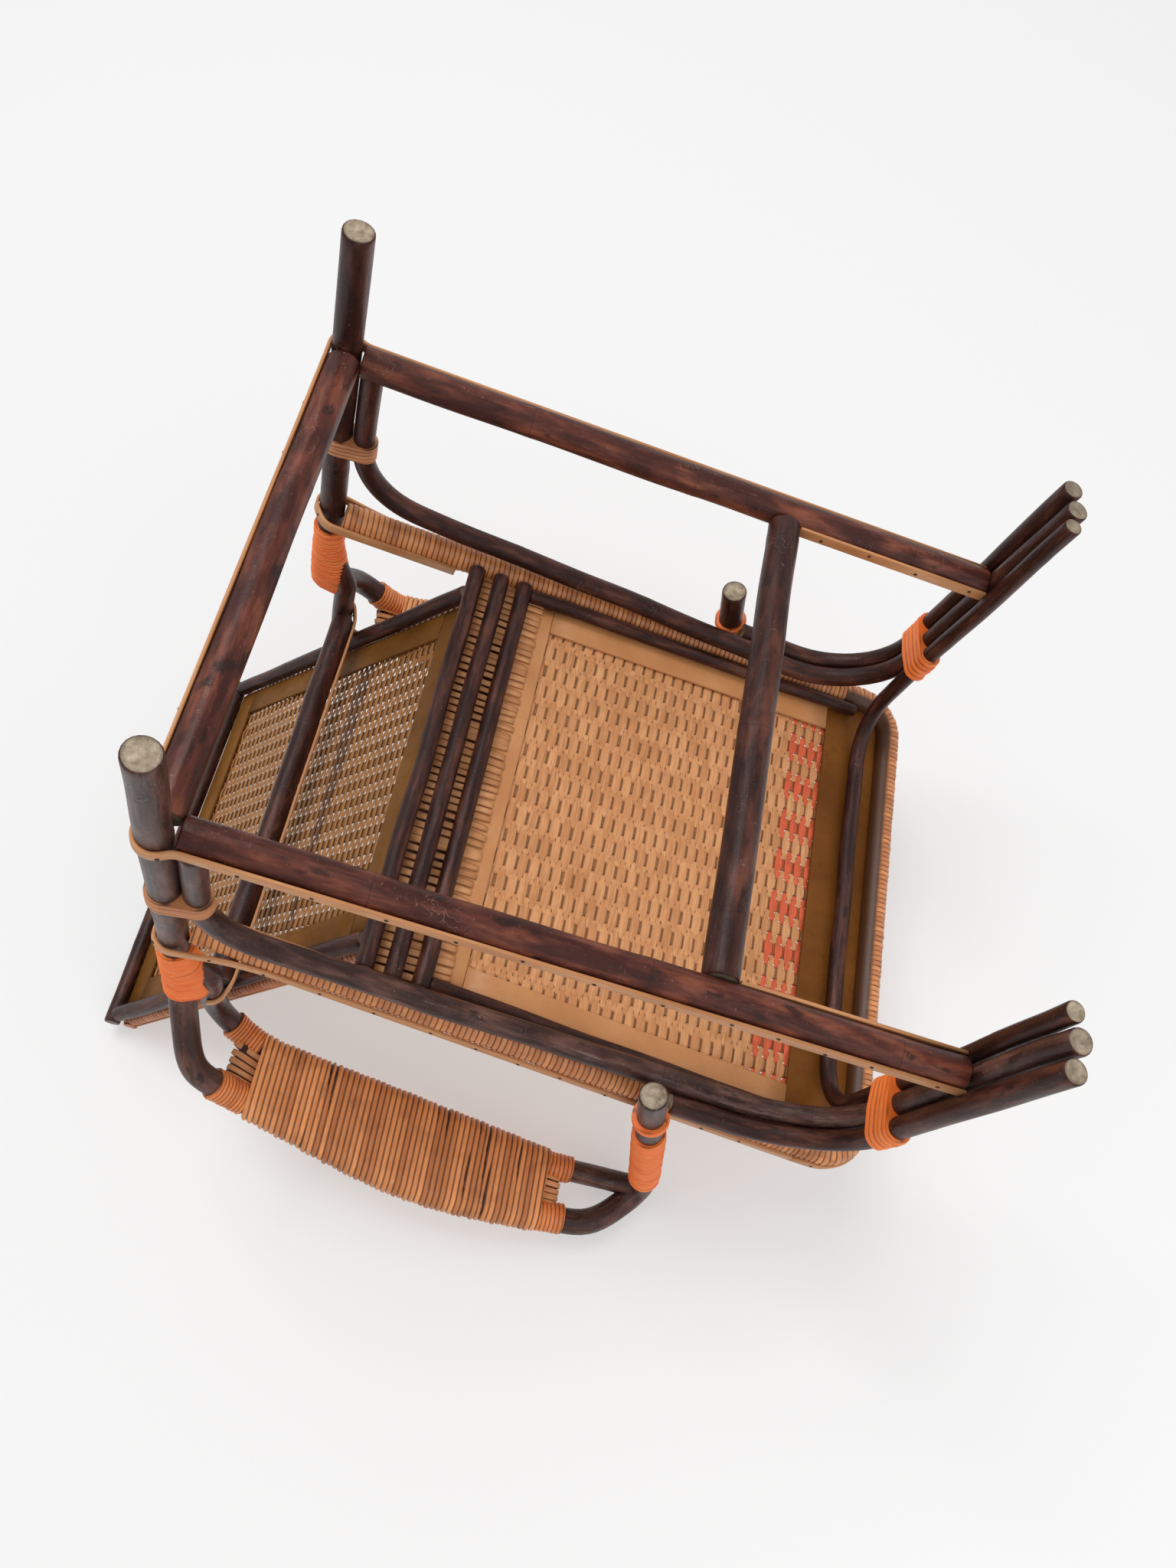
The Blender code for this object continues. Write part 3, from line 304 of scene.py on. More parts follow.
def strip_line(node, wide_way):
    """Centre points of a flat strip that stands on edge, its width and its thickness."""
    places, faces = corners_and_faces(node)
    level = [place.dot(wide_way) for place in places]
    low = min(level)
    wide = max(level) - low
    base = {index for index, value in enumerate(level) if value < low + wide / 2}
    edges = {}
    for face in faces:
        if base.issuperset(face):
            for a, b in zip(face, face[1:] + face[:1]):
                edges[(a, b)] = None
    rim = {a: b for a, b in edges if (b, a) not in edges}
    loop = [next(iter(rim))]
    while rim[loop[-1]] != loop[0]:
        loop.append(rim[loop[-1]])
    spots = [places[corner] for corner in loop]
    count = len(spots)

    def square(index):
        into = (spots[index] - spots[index - 1]).normalized()
        out = (spots[(index + 1) % count] - spots[index]).normalized()
        return abs(into.dot(out)) < SQUARE

    ends = [index for index in range(count) if square(index) and square((index + 1) % count)]
    start = min(ends, key=lambda index: (spots[index] - spots[(index + 1) % count]).length)
    turned = [spots[(start + 1 + index) % count] for index in range(count)]
    half = count // 2
    pairs = list(zip(turned[:half], turned[:half - 1:-1]))
    rise = wide_way * wide / 2
    return [(a + b) / 2 + rise for a, b in pairs], wide, (pairs[0][0] - pairs[0][1]).length


def plate_corners(node):
    """Corners of a flat plate's upper face in order round it, its normal and its thickness."""
    places, faces = corners_and_faces(node)
    widest = max(faces, key=lambda face: (places[face[1]] - places[face[0]]).cross(
        places[face[2]] - places[face[0]]).length)
    normal = face_normal(places, widest)
    normal = -normal if normal.z < 0 else normal
    levels = [place.dot(normal) for place in places]
    half = (min(levels) + max(levels)) / 2
    top = [place for place, level in zip(places, levels) if level > half]
    middle = middle_of(top)
    side = (top[0] - middle).normalized()
    other = normal.cross(side)
    top.sort(key=lambda place: math.atan2((place - middle).dot(other), (place - middle).dot(side)))
    return top, normal, max(levels) - min(levels)


def sheet_plan(node, border):
    """A woven sheet's middle, direction along it, normal (its border's), and half width by place along."""
    places, _ = corners_and_faces(node)
    normal = plate_corners(border)[1]
    along = normal.cross(ACROSS)
    middle = middle_of(places)
    levels = [(place - middle).dot(normal) for place in places]
    middle = middle + normal * (min(levels) + max(levels)) / 2
    half = {}
    for place in places:
        run = round((place - middle).dot(along) / SHEET_STEP)
        half[run] = max(half.get(run, 0.0), place.x)
    runs = sorted(half)
    return middle, along, normal, [run * SHEET_STEP for run in runs], [half[run] for run in runs]


# Lines

def eased(points):
    """The same line with each corner turned into a short smooth bend."""
    line = [points[0]]
    for before, corner, after in zip(points, points[1:], points[2:]):
        reach = min((corner - before).length, (after - corner).length) / 2
        start = corner + (before - corner).normalized() * reach
        end = corner + (after - corner).normalized() * reach
        for step in range(BEND_POINTS + 1):
            share = step / BEND_POINTS
            line.append(start * (1 - share) ** 2 + corner * 2 * share * (1 - share) + end * share ** 2)
    line.append(points[-1])
    kept = [line[0]]
    for point in line[1:]:
        if (point - kept[-1]).length > 1e-5:
            kept.append(point)
    return kept


def lengths_along(points):
    """Length from the first point to each point of a line."""
    return np.concatenate([[0.0], np.cumsum(np.linalg.norm(np.diff(points, axis=0), axis=1))])


def turns_of(count):
    return 2 * np.pi * np.arange(count) / count


class Course:
    """A line that gives its place, direction and two directions across at any length along it."""

    def __init__(self, points, first_side=None):
        self.points = np.array([tuple(point) for point in points])
        steps = np.diff(self.points, axis=0)
        self.lengths = lengths_along(self.points)
        self.total = float(self.lengths[-1])
        ways = steps / np.linalg.norm(steps, axis=1)[:, None]
        mean = np.vstack([ways[:1], ways[:-1] + ways[1:], ways[-1:]])
        self.ways = mean / np.linalg.norm(mean, axis=1)[:, None]
        side = np.array(first_side or Vector(self.ways[0]).orthogonal())
        self.across = []
        for way in self.ways:
            side = side - way * side.dot(way)
            side = side / np.linalg.norm(side)
            self.across.append(side)
        self.across = np.array(self.across)

    def at(self, length):
        place = [np.interp(length, self.lengths, self.points[:, axis]) for axis in range(3)]
        way = np.array([np.interp(length, self.lengths, self.ways[:, axis]) for axis in range(3)])
        way = way / np.linalg.norm(way)
        side = np.array([np.interp(length, self.lengths, self.across[:, axis]) for axis in range(3)])
        side = side - way * side.dot(way)
        side = side / np.linalg.norm(side)
        return np.array(place), way, side, np.cross(way, side)

    def crossing(self, axis, place):
        """Length at which the line first passes a place on an axis, and the slant factor there."""
        values = self.points[:, axis]
        for index in range(len(values) - 1):
            step = values[index + 1] - values[index]
            if step and 0 <= (place - values[index]) / step <= 1:
                share = (place - values[index]) / step
                run = self.lengths[index + 1] - self.lengths[index]
                return self.lengths[index] + share * run, run / abs(step)
        raise ValueError("the line does not reach that place")


POLES = {}


def pole(node):
    """A pole's smooth course and radius, read once."""
    if node not in POLES:
        points, radius = pole_line(node)
        POLES[node] = (Course(eased(points)), radius)
    return POLES[node]


# Meshes

def loft(rings, along, marks=None):
    """A closed skin over rings of points. along gives the surface place of each row, or of each
    row and column with one column more than the ring has."""
    rings = np.asarray(rings, dtype=float)
    rows, columns = rings.shape[:2]
    grid = np.arange(rows * columns).reshape(rows, columns)
    ahead = np.roll(grid, -1, axis=1)
    quads = np.stack([grid[:-1], ahead[:-1], ahead[1:], grid[1:]], axis=-1).reshape(-1, 4)
    around = np.broadcast_to(np.arange(columns + 1) / columns, (rows, columns + 1))
    along = np.asarray(along, dtype=float)
    if along.ndim == 1:
        along = np.repeat(along[:, None], columns + 1, axis=1)
    place = np.stack([around, along], axis=-1)
    spots = np.stack([place[:-1, :-1], place[:-1, 1:], place[1:, 1:], place[1:, :-1]], axis=2)
    turn = turns_of(columns)
    disc = np.stack([np.cos(turn), np.sin(turn)], axis=-1)
    shown = {}
    for name, values in (marks or {}).items():
        values = np.asarray(values, dtype=float).reshape(rows, -1)
        shown[name] = np.broadcast_to(values, (rows, columns)).ravel()
    return {"points": rings.reshape(-1, 3), "quads": quads, "spots": spots.reshape(-1, 4, 2),
            "ends": [grid[0][::-1], grid[-1]], "disc": disc, "marks": shown}


def build(name, lofts, finish, nodes=(), end_finish=None):
    """One piece from its lofts, which rides on the chair and stands for the named nodes."""
    points = np.concatenate([part["points"] for part in lofts])
    starts = np.cumsum([0] + [len(part["points"]) for part in lofts])
    faces = []
    spots = []
    end_faces = []
    for part, start in zip(lofts, starts):
        faces += (part["quads"] + start).tolist()
        spots.append(part["spots"].reshape(-1, 2))
    for part, start in zip(lofts, starts):
        for end in part["ends"]:
            end_faces.append((end + start).tolist())
            spots.append(part["disc"])
    mesh = bpy.data.meshes.new(name)
    mesh.from_pydata(points.tolist(), [], faces + end_faces)
    layer = mesh.uv_layers.new(name="cane")
    layer.data.foreach_set("uv", np.concatenate(spots).astype(np.float32).ravel())
    for mark in lofts[0]["marks"]:
        values = np.concatenate([part["marks"][mark] for part in lofts]).astype(np.float32)
        mesh.attributes.new(mark, "FLOAT", "POINT").data.foreach_set("value", values)
    mesh.materials.append(finish)
    smooth = np.ones(len(mesh.polygons), dtype=bool)
    smooth[len(faces):] = False
    mesh.polygons.foreach_set("use_smooth", smooth)
    if end_finish:
        mesh.materials.append(end_finish)
        which = np.zeros(len(mesh.polygons), dtype=np.int32)
        which[len(faces):] = 1
        mesh.polygons.foreach_set("material_index", which)
    mesh.update()
    return place_piece(bpy.data.objects.new(name, mesh), nodes)


def place_piece(piece, nodes=()):
    bpy.context.scene.collection.objects.link(piece)
    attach(piece, "root")
    if nodes:
        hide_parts(*nodes)
    return piece


# Node webs

def add(tree, kind, inputs=None, **settings):
    """A new node with its settings, and its inputs set or linked."""
    node = tree.nodes.new(kind)
    for key, value in settings.items():
        setattr(node, key, value)
    for key, value in (inputs or {}).items():
        if isinstance(value, bpy.types.NodeSocket):
            tree.links.new(value, node.inputs[key])
        else:
            node.inputs[key].default_value = value
    return node


def sums(tree, operation, first, second=0.0):
    return add(tree, "ShaderNodeMath", {0: first, 1: second}, operation=operation).outputs[0]


def band(tree, value, low, high, to_low=0.0, to_high=1.0):
    return add(tree, "ShaderNodeMapRange", {"Value": value, "From Min": low, "From Max": high,
                                            "To Min": to_low, "To Max": to_high}).outputs[0]


def mixed(tree, share, first, second, way="MIX"):
    return add(tree, "ShaderNodeMix", {0: share, 6: first, 7: second}, data_type="RGBA",
               blend_type=way).outputs[2]


def cloud(tree, vector, scale, detail=3.0, rough=0.55):
    return add(tree, "ShaderNodeTexNoise", {"Vector": vector, "Scale": scale, "Detail": detail,
                                            "Roughness": rough}).outputs[0]


def mark_of(tree, name):
    return add(tree, "ShaderNodeAttribute", attribute_name=name).outputs["Fac"]


def colour(red, green, blue):
    return (red, green, blue, 1.0)


def new_group(name, inputs, outputs):
    group = bpy.data.node_groups.new(name, "ShaderNodeTree")
    for word, value in inputs.items():
        socket = group.interface.new_socket(word, in_out="INPUT", socket_type="NodeSocketFloat")
        socket.default_value = value
    for word in outputs:
        group.interface.new_socket(word, in_out="OUTPUT", socket_type="NodeSocketFloat")
    return group, add(group, "NodeGroupInput").outputs, add(group, "NodeGroupOutput")


def put_out(group, sink, values):
    for word, value in values.items():
        group.links.new(value, sink.inputs[word])


def rolled_place(group, along_scale):
    """Surface place rolled into a cylinder, so that a pattern meets itself round the pole."""
    spot = add(group, "ShaderNodeSeparateXYZ",
               {0: add(group, "ShaderNodeUVMap", uv_map="cane").outputs[0]}).outputs
    turn = sums(group, "MULTIPLY", spot[0], 2 * math.pi)
    run = sums(group, "MULTIPLY", spot[1], along_scale)
    return add(group, "ShaderNodeCombineXYZ", {0: sums(group, "COSINE", turn), 1: sums(group, "SINE", turn),
                                               2: run}).outputs[0]


def grain_group():
    """Cane grain: streaks along the pole, broad patches of stain, and small flecks."""
    group, given, sink = new_group("cane_grain", {"Streaks": 6.0, "Patches": 9.0},
                                   ("Streak", "Patch", "Fleck", "Spot"))
    slow = rolled_place(group, 7.0)
    streak = cloud(group, slow, given["Streaks"], 4.0, 0.65)
    patch = cloud(group, rolled_place(group, given["Patches"]), 0.9, 3.0, 0.6)
    fleck = cloud(group, rolled_place(group, 160.0), 3.0, 2.0, 0.6)
    spot = band(group, cloud(group, rolled_place(group, 34.0), 1.1, 2.0, 0.5), 0.61, 0.69)
    put_out(group, sink, {"Streak": streak, "Patch": patch, "Fleck": fleck, "Spot": spot})
    return group


def wear_group():
    """Rubbed stain: scuffs in long smears, and the dark line of each knuckle."""
    group, given, sink = new_group("rubbed_wear", {"Amount": 0.5, "Smears": 11.0},
                                   ("Rubbed", "Knuckle", "Scratch"))
    smear = cloud(group, rolled_place(group, given["Smears"]), 1.6, 5.0, 0.72)
    place = add(group, "ShaderNodeTexCoord").outputs["Object"]
    zone = cloud(group, place, 7.0, 2.0, 0.5)
    knuckle = mark_of(group, "knuckle")
    total = sums(group, "ADD", sums(group, "MULTIPLY", smear, 0.62), sums(group, "MULTIPLY", zone, 0.38))
    edge = sums(group, "SUBTRACT", 0.78, sums(group, "MULTIPLY", given["Amount"], 0.32))
    rubbed = band(group, sums(group, "SUBTRACT", total, edge), -0.03, 0.10)
    lines = cloud(group, rolled_place(group, 60.0), 1.4, 2.0)
    ridge = sums(group, "ABSOLUTE", sums(group, "SUBTRACT", lines, 0.5))
    marked = band(group, cloud(group, place, 24.0, 1.0), 0.64, 0.70)
    scratch = sums(group, "MULTIPLY", band(group, ridge, 0.010, 0.004), marked)
    put_out(group, sink, {"Rubbed": rubbed, "Knuckle": band(group, knuckle, 0.80, 0.97), "Scratch": scratch})
    return group


def strand_group():
    """Wound strands: a tone for each turn that runs on into the next, its groove, and fibre along it."""
    group, given, sink = new_group("wound_strand", {"Fibres": 40.0, "Seed": 1.0},
                                   ("Tone", "Groove", "Fibre", "Stain"))
    spot = add(group, "ShaderNodeSeparateXYZ",
               {0: add(group, "ShaderNodeUVMap", uv_map="cane").outputs[0]}).outputs
    turn = sums(group, "FLOOR", spot[1])

    def chance(value):
        seeded = sums(group, "ADD", value, given["Seed"])
        return add(group, "ShaderNodeTexWhiteNoise", {"W": seeded}, noise_dimensions="1D").outputs[0]

    tone = add(group, "ShaderNodeMix", {0: spot[0], 2: chance(turn),
                                        3: chance(sums(group, "SUBTRACT", turn, 1.0))}).outputs[0]
    part = sums(group, "FRACT", spot[1])
    edge = sums(group, "ABSOLUTE", sums(group, "SUBTRACT", sums(group, "MULTIPLY", part, 2.0), 1.0))
    groove = band(group, edge, 0.62, 0.96)
    way = add(group, "ShaderNodeCombineXYZ", {0: sums(group, "MULTIPLY", spot[0], 2.2), 1: spot[1],
                                              2: given["Seed"]}).outputs[0]
    fibre = cloud(group, add(group, "ShaderNodeVectorMath", {0: way, 1: (6.0, 7.0, 1.0)},
                             operation="MULTIPLY").outputs[0], 1.0, 4.0, 0.6)
    place = add(group, "ShaderNodeTexCoord").outputs["Object"]
    stain = band(group, cloud(group, place, given["Fibres"], 3.0, 0.6), 0.52, 0.74)
    put_out(group, sink, {"Tone": tone, "Groove": groove, "Fibre": fibre, "Stain": stain})
    return group


GRAIN = grain_group()
WEAR = wear_group()
STRAND = strand_group()


def new_finish(name, gloss=0.5):
    material = bpy.data.materials.new(name)
    material.use_nodes = True
    shader = material.node_tree.nodes["Principled BSDF"]
    shader.inputs["Specular IOR Level"].default_value = gloss
    return material, material.node_tree, shader


def use(tree, group, values):
    node = add(tree, "ShaderNodeGroup", node_tree=group)
    for word, value in values.items():
        node.inputs[word].default_value = value
    return node.outputs


def laid_on(tree, base, value, low, high, most, tone):
    """A tone over a base where a value runs from low to high, up to a share."""
    return mixed(tree, band(tree, value, low, high, 0.0, most), base, colour(*tone))


def rubbed_on(tree, base, mask, share, tone):
    """A tone over a base by a share of a mask."""
    return mixed(tree, sums(tree, "MULTIPLY", mask, share), base, colour(*tone))


def surface(tree, shader, base, rough, height, strength, distance):
    """Links a finish's colour, roughness and bump."""
    bump = add(tree, "ShaderNodeBump", {"Height": height, "Strength": strength, "Distance": distance})
    for word, value in (("Base Color", base), ("Roughness", rough), ("Normal", bump.outputs[0])):
        tree.links.new(value, shader.inputs[word])


def pole_finish(name, dark, mid, light, rubbed, amount, patches, gloss):
    """Stained cane: dark and mid stain in patches and streaks, rubbed greyer where it is handled."""
    material, tree, shader = new_finish(name, gloss)
    grain = use(tree, GRAIN, {"Streaks": 3.0, "Patches": patches})
    wear = use(tree, WEAR, {"Amount": amount})
    base = mixed(tree, band(tree, grain["Patch"], 0.42, 0.58), colour(*dark), colour(*mid))
    base = laid_on(tree, base, grain["Patch"], 0.55, 0.70, 0.85, light)
    base = laid_on(tree, base, grain["Streak"], 0.54, 0.74, 0.35, light)
    base = laid_on(tree, base, grain["Streak"], 0.44, 0.30, 0.35, dark)
    base = rubbed_on(tree, base, wear["Rubbed"], 0.55, rubbed)
    base = rubbed_on(tree, base, grain["Spot"], 0.8, (0.018, 0.007, 0.005))
    base = laid_on(tree, base, grain["Fleck"], 0.66, 0.78, 0.5, rubbed)
    base = rubbed_on(tree, base, wear["Knuckle"], 0.45, (0.014, 0.007, 0.005))
    base = rubbed_on(tree, base, wear["Scratch"], 0.5, rubbed)
    rough = sums(tree, "ADD", band(tree, grain["Streak"], 0.3, 0.7, 0.30, 0.46),
                 sums(tree, "MULTIPLY", wear["Rubbed"], 0.18))
    height = sums(tree, "ADD", grain["Streak"], sums(tree, "MULTIPLY", grain["Fleck"], 0.5))
    surface(tree, shader, base, rough, height, 0.35, 0.0012)
    return material


def strip_finish(name, pale, deep, dirt, amount, gloss=0.4):
    """Split cane: long fibre, darker bands, and dirt in smears."""
    material, tree, shader = new_finish(name, gloss)
    grain = use(tree, GRAIN, {"Streaks": 11.0, "Patches": 16.0})
    wear = use(tree, WEAR, {"Amount": amount, "Smears": 19.0})
    base = mixed(tree, band(tree, grain["Patch"], 0.35, 0.68), colour(*pale), colour(*deep))
    base = laid_on(tree, base, grain["Streak"], 0.52, 0.74, 0.65, deep)
    base = laid_on(tree, base, grain["Fleck"], 0.66, 0.8, 0.5, dirt)
    base = rubbed_on(tree, base, wear["Rubbed"], 0.6, dirt)
    rough = band(tree, grain["Streak"], 0.3, 0.7, 0.36, 0.58)
    surface(tree, shader, base, rough, grain["Streak"], 0.4, 0.0010)
    return material


def winding_finish(name, pale, deep, dirt, groove_shade, seed, rough_low):
    """Wound cane: each turn its own tone, fibre along it, painted shade in the grooves between turns."""
    material, tree, shader = new_finish(name)
    strand = use(tree, STRAND, {"Fibres": 34.0, "Seed": seed})
    plain = mark_of(tree, "plain")
    base = mixed(tree, band(tree, strand["Tone"], 0.05, 0.95), colour(*deep), colour(*pale))
    base = laid_on(tree, base, strand["Fibre"], 0.42, 0.70, 0.55, deep)
    base = rubbed_on(tree, base, strand["Stain"], 0.55, dirt)
    # Painted shade: the grooves between turns are laid dark by a share of the groove mask, except where the
    # bare rail shows.
    bare = sums(tree, "SUBTRACT", 1.0, plain)
    groove = sums(tree, "MULTIPLY", sums(tree, "MULTIPLY", strand["Groove"], groove_shade), bare)
    base = mixed(tree, groove, base, colour(0.040, 0.012, 0.004))
    base = mixed(tree, mark_of(tree, "slit"), base, colour(0.024, 0.007, 0.003))
    base = rubbed_on(tree, base, plain, 0.95, (0.055, 0.021, 0.008))
    rough = sums(tree, "ADD", band(tree, strand["Fibre"], 0.3, 0.7, rough_low, rough_low + 0.16),
                 sums(tree, "MULTIPLY", strand["Stain"], 0.12))
    surface(tree, shader, base, rough, strand["Fibre"], 0.25, 0.0006)
    return material


def weave_finish(name, deep, pale, shade, bright):
    """Woven cane: tan strands of uneven tone, dyed red or brown where the pattern runs; the warps carry a
    share of the brown as painted shade.
    """
    material, tree, shader = new_finish(name, 0.32)
    grain = use(tree, GRAIN, {"Streaks": 4.0, "Patches": 60.0})
    wear = use(tree, WEAR, {"Amount": 0.45, "Smears": 30.0})
    base = mixed(tree, mark_of(tree, "tone"), colour(*deep), colour(*pale))
    base = laid_on(tree, base, grain["Patch"], 0.45, 0.74, 0.5, shade)
    base = laid_on(tree, base, grain["Streak"], 0.53, 0.70, 0.65, bright)
    base = laid_on(tree, base, grain["Streak"], 0.47, 0.32, 0.65, shade)
    dyed = mixed(tree, band(tree, grain["Patch"], 0.35, 0.7), colour(0.76, 0.110, 0.042),
                 colour(0.50, 0.080, 0.030))
    base = mixed(tree, mark_of(tree, "red"), base, dyed)
    # The brown mark is the back's brown dye on its wefts, and painted shade on every warp.
    base = mixed(tree, mark_of(tree, "brown_dye_and_warp_shade"), base, colour(0.085, 0.032, 0.014))
    base = rubbed_on(tree, base, wear["Rubbed"], 0.35, (0.20, 0.090, 0.036))
    rough = band(tree, grain["Streak"], 0.3, 0.7, 0.34, 0.55)
    surface(tree, shader, base, rough, grain["Streak"], 0.3, 0.0005)
    return material


def end_finish():
    """Cut end of a pole: pale pith with pores, darker towards the bark."""
    material, tree, shader = new_finish("cut_cane_end")
    spot = add(tree, "ShaderNodeUVMap", uv_map="cane").outputs[0]
    place = add(tree, "ShaderNodeTexCoord").outputs["Object"]
    rim = add(tree, "ShaderNodeVectorMath", {0: spot}, operation="LENGTH").outputs["Value"]
    pores = add(tree, "ShaderNodeTexVoronoi", {"Vector": place, "Scale": 900.0}).outputs["Distance"]
    base = mixed(tree, band(tree, cloud(tree, place, 140.0), 0.35, 0.65), colour(0.20, 0.145, 0.095),
                 colour(0.46, 0.38, 0.27))
    base = laid_on(tree, base, cloud(tree, place, 5.0, 1.0), 0.40, 0.60, 0.65, (0.13, 0.10, 0.075))
    base = laid_on(tree, base, pores, 0.25, 0.05, 0.7, (0.14, 0.085, 0.05))
    base = laid_on(tree, base, rim, 0.82, 1.0, 0.6, (0.10, 0.06, 0.04))
    surface(tree, shader, base, band(tree, pores, 0.0, 0.5, 0.85, 0.65), pores, 0.4, 0.0006)
    return material


def nail_finish():
    """Small iron nails, dark and a little rusty."""
    material, tree, shader = new_finish("iron_nail")
    place = add(tree, "ShaderNodeTexCoord").outputs["Object"]
    rust = cloud(tree, place, 700.0, 3.0, 0.6)
    base = mixed(tree, band(tree, rust, 0.42, 0.62), colour(0.030, 0.026, 0.024), colour(0.11, 0.048, 0.022))
    tree.links.new(band(tree, rust, 0.40, 0.60, 0.75, 0.15), shader.inputs["Metallic"])
    surface(tree, shader, base, band(tree, rust, 0.35, 0.65, 0.40, 0.80), rust, 0.4, 0.0004)
    return material


STAINED_CANE = pole_finish("stained_cane", (0.024, 0.007, 0.005), (0.062, 0.018, 0.012),
                           (0.125, 0.042, 0.026), (0.220, 0.140, 0.115), 0.36, 22.0, 0.26)
WORN_CANE = pole_finish("worn_cane", (0.034, 0.013, 0.010), (0.092, 0.037, 0.028),
                        (0.160, 0.074, 0.054), (0.310, 0.215, 0.180), 0.60, 22.0, 0.32)
REDDENED_CANE = pole_finish("reddened_cane", (0.048, 0.011, 0.008), (0.118, 0.030, 0.018),
                            (0.235, 0.070, 0.036), (0.320, 0.180, 0.140), 0.40, 20.0, 0.28)
SPLIT_CANE = strip_finish("split_cane", (0.66, 0.320, 0.140), (0.48, 0.195, 0.072),
                          (0.150, 0.064, 0.030), 0.34)
BORDER_CANE = strip_finish("border_board", (0.60, 0.275, 0.110), (0.50, 0.205, 0.070),
                           (0.26, 0.108, 0.038), 0.26)
# The back's borders: the border boards' split cane painted darker, as painted shade for the corner they lie
# in.
BACK_BOARD_PAINTED_SHADE = strip_finish("back_board", (0.22, 0.090, 0.016), (0.15, 0.055, 0.008),
                          (0.06, 0.020, 0.005), 0.34, 0.12)
FRONT_CANE = strip_finish("front_board", (0.20, 0.070, 0.012), (0.12, 0.038, 0.006),
                          (0.05, 0.016, 0.004), 0.34, 0.12)
RAIL_CANE = winding_finish("rail_winding", (0.84, 0.335, 0.115), (0.54, 0.175, 0.052),
                           (0.22, 0.080, 0.026), 0.9, 3.0, 0.30)
BACK_CANE = winding_finish("back_winding", (0.70, 0.310, 0.170), (0.52, 0.175, 0.078),
                           (0.20, 0.070, 0.028), 0.9, 11.0, 0.36)
ORANGE_BINDING = winding_finish("orange_binding", (1.0, 0.270, 0.055), (0.90, 0.170, 0.022),
                                (0.68, 0.110, 0.014), 0.62, 5.0, 0.34)
PAD_WINDING = winding_finish("pad_winding", (0.95, 0.390, 0.135), (0.46, 0.150, 0.040),
                             (0.24, 0.070, 0.020), 0.9, 7.0, 0.32)
PAD_END_WINDING = winding_finish("pad_end_winding", (0.90, 0.300, 0.085), (0.60, 0.160, 0.036),
                                 (0.34, 0.090, 0.022), 0.75, 9.0, 0.34)
TIE_CANE = winding_finish("tie_winding", (0.66, 0.280, 0.120), (0.46, 0.165, 0.062),
                          (0.16, 0.060, 0.024), 0.85, 13.0, 0.36)
WOVEN_CANE = weave_finish("woven_cane", (0.52, 0.215, 0.082), (0.74, 0.355, 0.155),
                          (0.42, 0.165, 0.055), (0.82, 0.47, 0.24))
# The back's weave: the seat's woven cane painted darker, as painted shade.
BACK_WOVEN_PAINTED_SHADE = weave_finish("back_woven_cane_painted_shade", (0.31, 0.128, 0.036), (0.46, 0.215, 0.070),
                          (0.24, 0.092, 0.024), (0.54, 0.28, 0.105))
CUT_END = end_finish()
IRON_NAIL = nail_finish()


# Poles

def knuckle_places(total, chance):
    """Places of the rings where leaves grew, at uneven steps along a pole."""
    places = []
    place = chance.uniform(KNUCKLE_MARGIN[0], KNUCKLE_APART[1])
    while place < total - KNUCKLE_MARGIN[1]:
        places.append(place)
        place += chance.uniform(*KNUCKLE_APART)
    return np.array(places)


def hump(far, wide):
    return math.exp(-(far / wide) ** 2)


def make_pole(node, finish, lead=(), tail=()):
    """A bent cane: smooth, a little uneven, with knuckles and eased cut ends. lead gives places and
    thickness shares of a slanted end before its start, tail places that it runs on to."""
    course, radius = pole(node)
    if lead or tail:
        course = Course([place for place, _ in lead] + list(course.points) + list(tail))
    slim = [share for _, share in lead] + [1.0]
    chance = random.Random(node)
    seed = chance.uniform(0.0, 50.0)
    knuckles = knuckle_places(course.total, chance)
    places = [np.arange(RING_STEP, course.total - RING_STEP / 2, RING_STEP)]
    places += [knuckles + spread for spread in KNUCKLE_SPREAD]
    places = np.unique(np.round(np.concatenate(places), 5))
    ease = END_EASE[-1][0]
    places = places[(places > ease + END_CLEAR) & (places < course.total - ease - END_CLEAR)]
    rows = list(END_EASE) + [(place, 1.0) for place in places]
    rows += [(course.total - step, share) for step, share in END_EASE[::-1]]
    turns = turns_of(POLE_SIDES)
    rings = []
    marks = []
    for place, share in rows:
        centre, way, side, up = course.at(place)
        far = np.abs(knuckles - place).min() if len(knuckles) else 1.0
        swell = KNUCKLE_RISE * hump(far, KNUCKLE_WIDE) - KNUCKLE_NICK * hump(far, KNUCKLE_NICK_WIDE)
        stray = WANDER * min(1.0, place / WANDER_FADE, (course.total - place) / WANDER_FADE)
        centre = centre + side * noise.noise((place * WANDER_RATE, seed, 0.0)) * stray
        centre = centre + up * noise.noise((place * WANDER_RATE, seed, 9.0)) * stray
        uneven = [noise.noise((math.cos(t) * UNEVEN_AROUND, math.sin(t) * UNEVEN_AROUND,
                               place * UNEVEN_ALONG + seed)) for t in turns]
        thick = radius * share * np.interp(place, course.lengths[:len(slim)], slim)
        sizes = thick * (1 + swell + OUT_OF_ROUND * np.array(uneven))
        rings.append(centre + (np.cos(turns)[:, None] * side + np.sin(turns)[:, None] * up) * sizes[:, None])
        marks.append(sum(strength * hump(far, wide) for strength, wide in KNUCKLE_STAIN))
    along = np.array([place for place, _ in rows]) + seed
    return build(node + "_cane", [loft(rings, along, {"knuckle": marks})], finish, [node], CUT_END)


# Windings

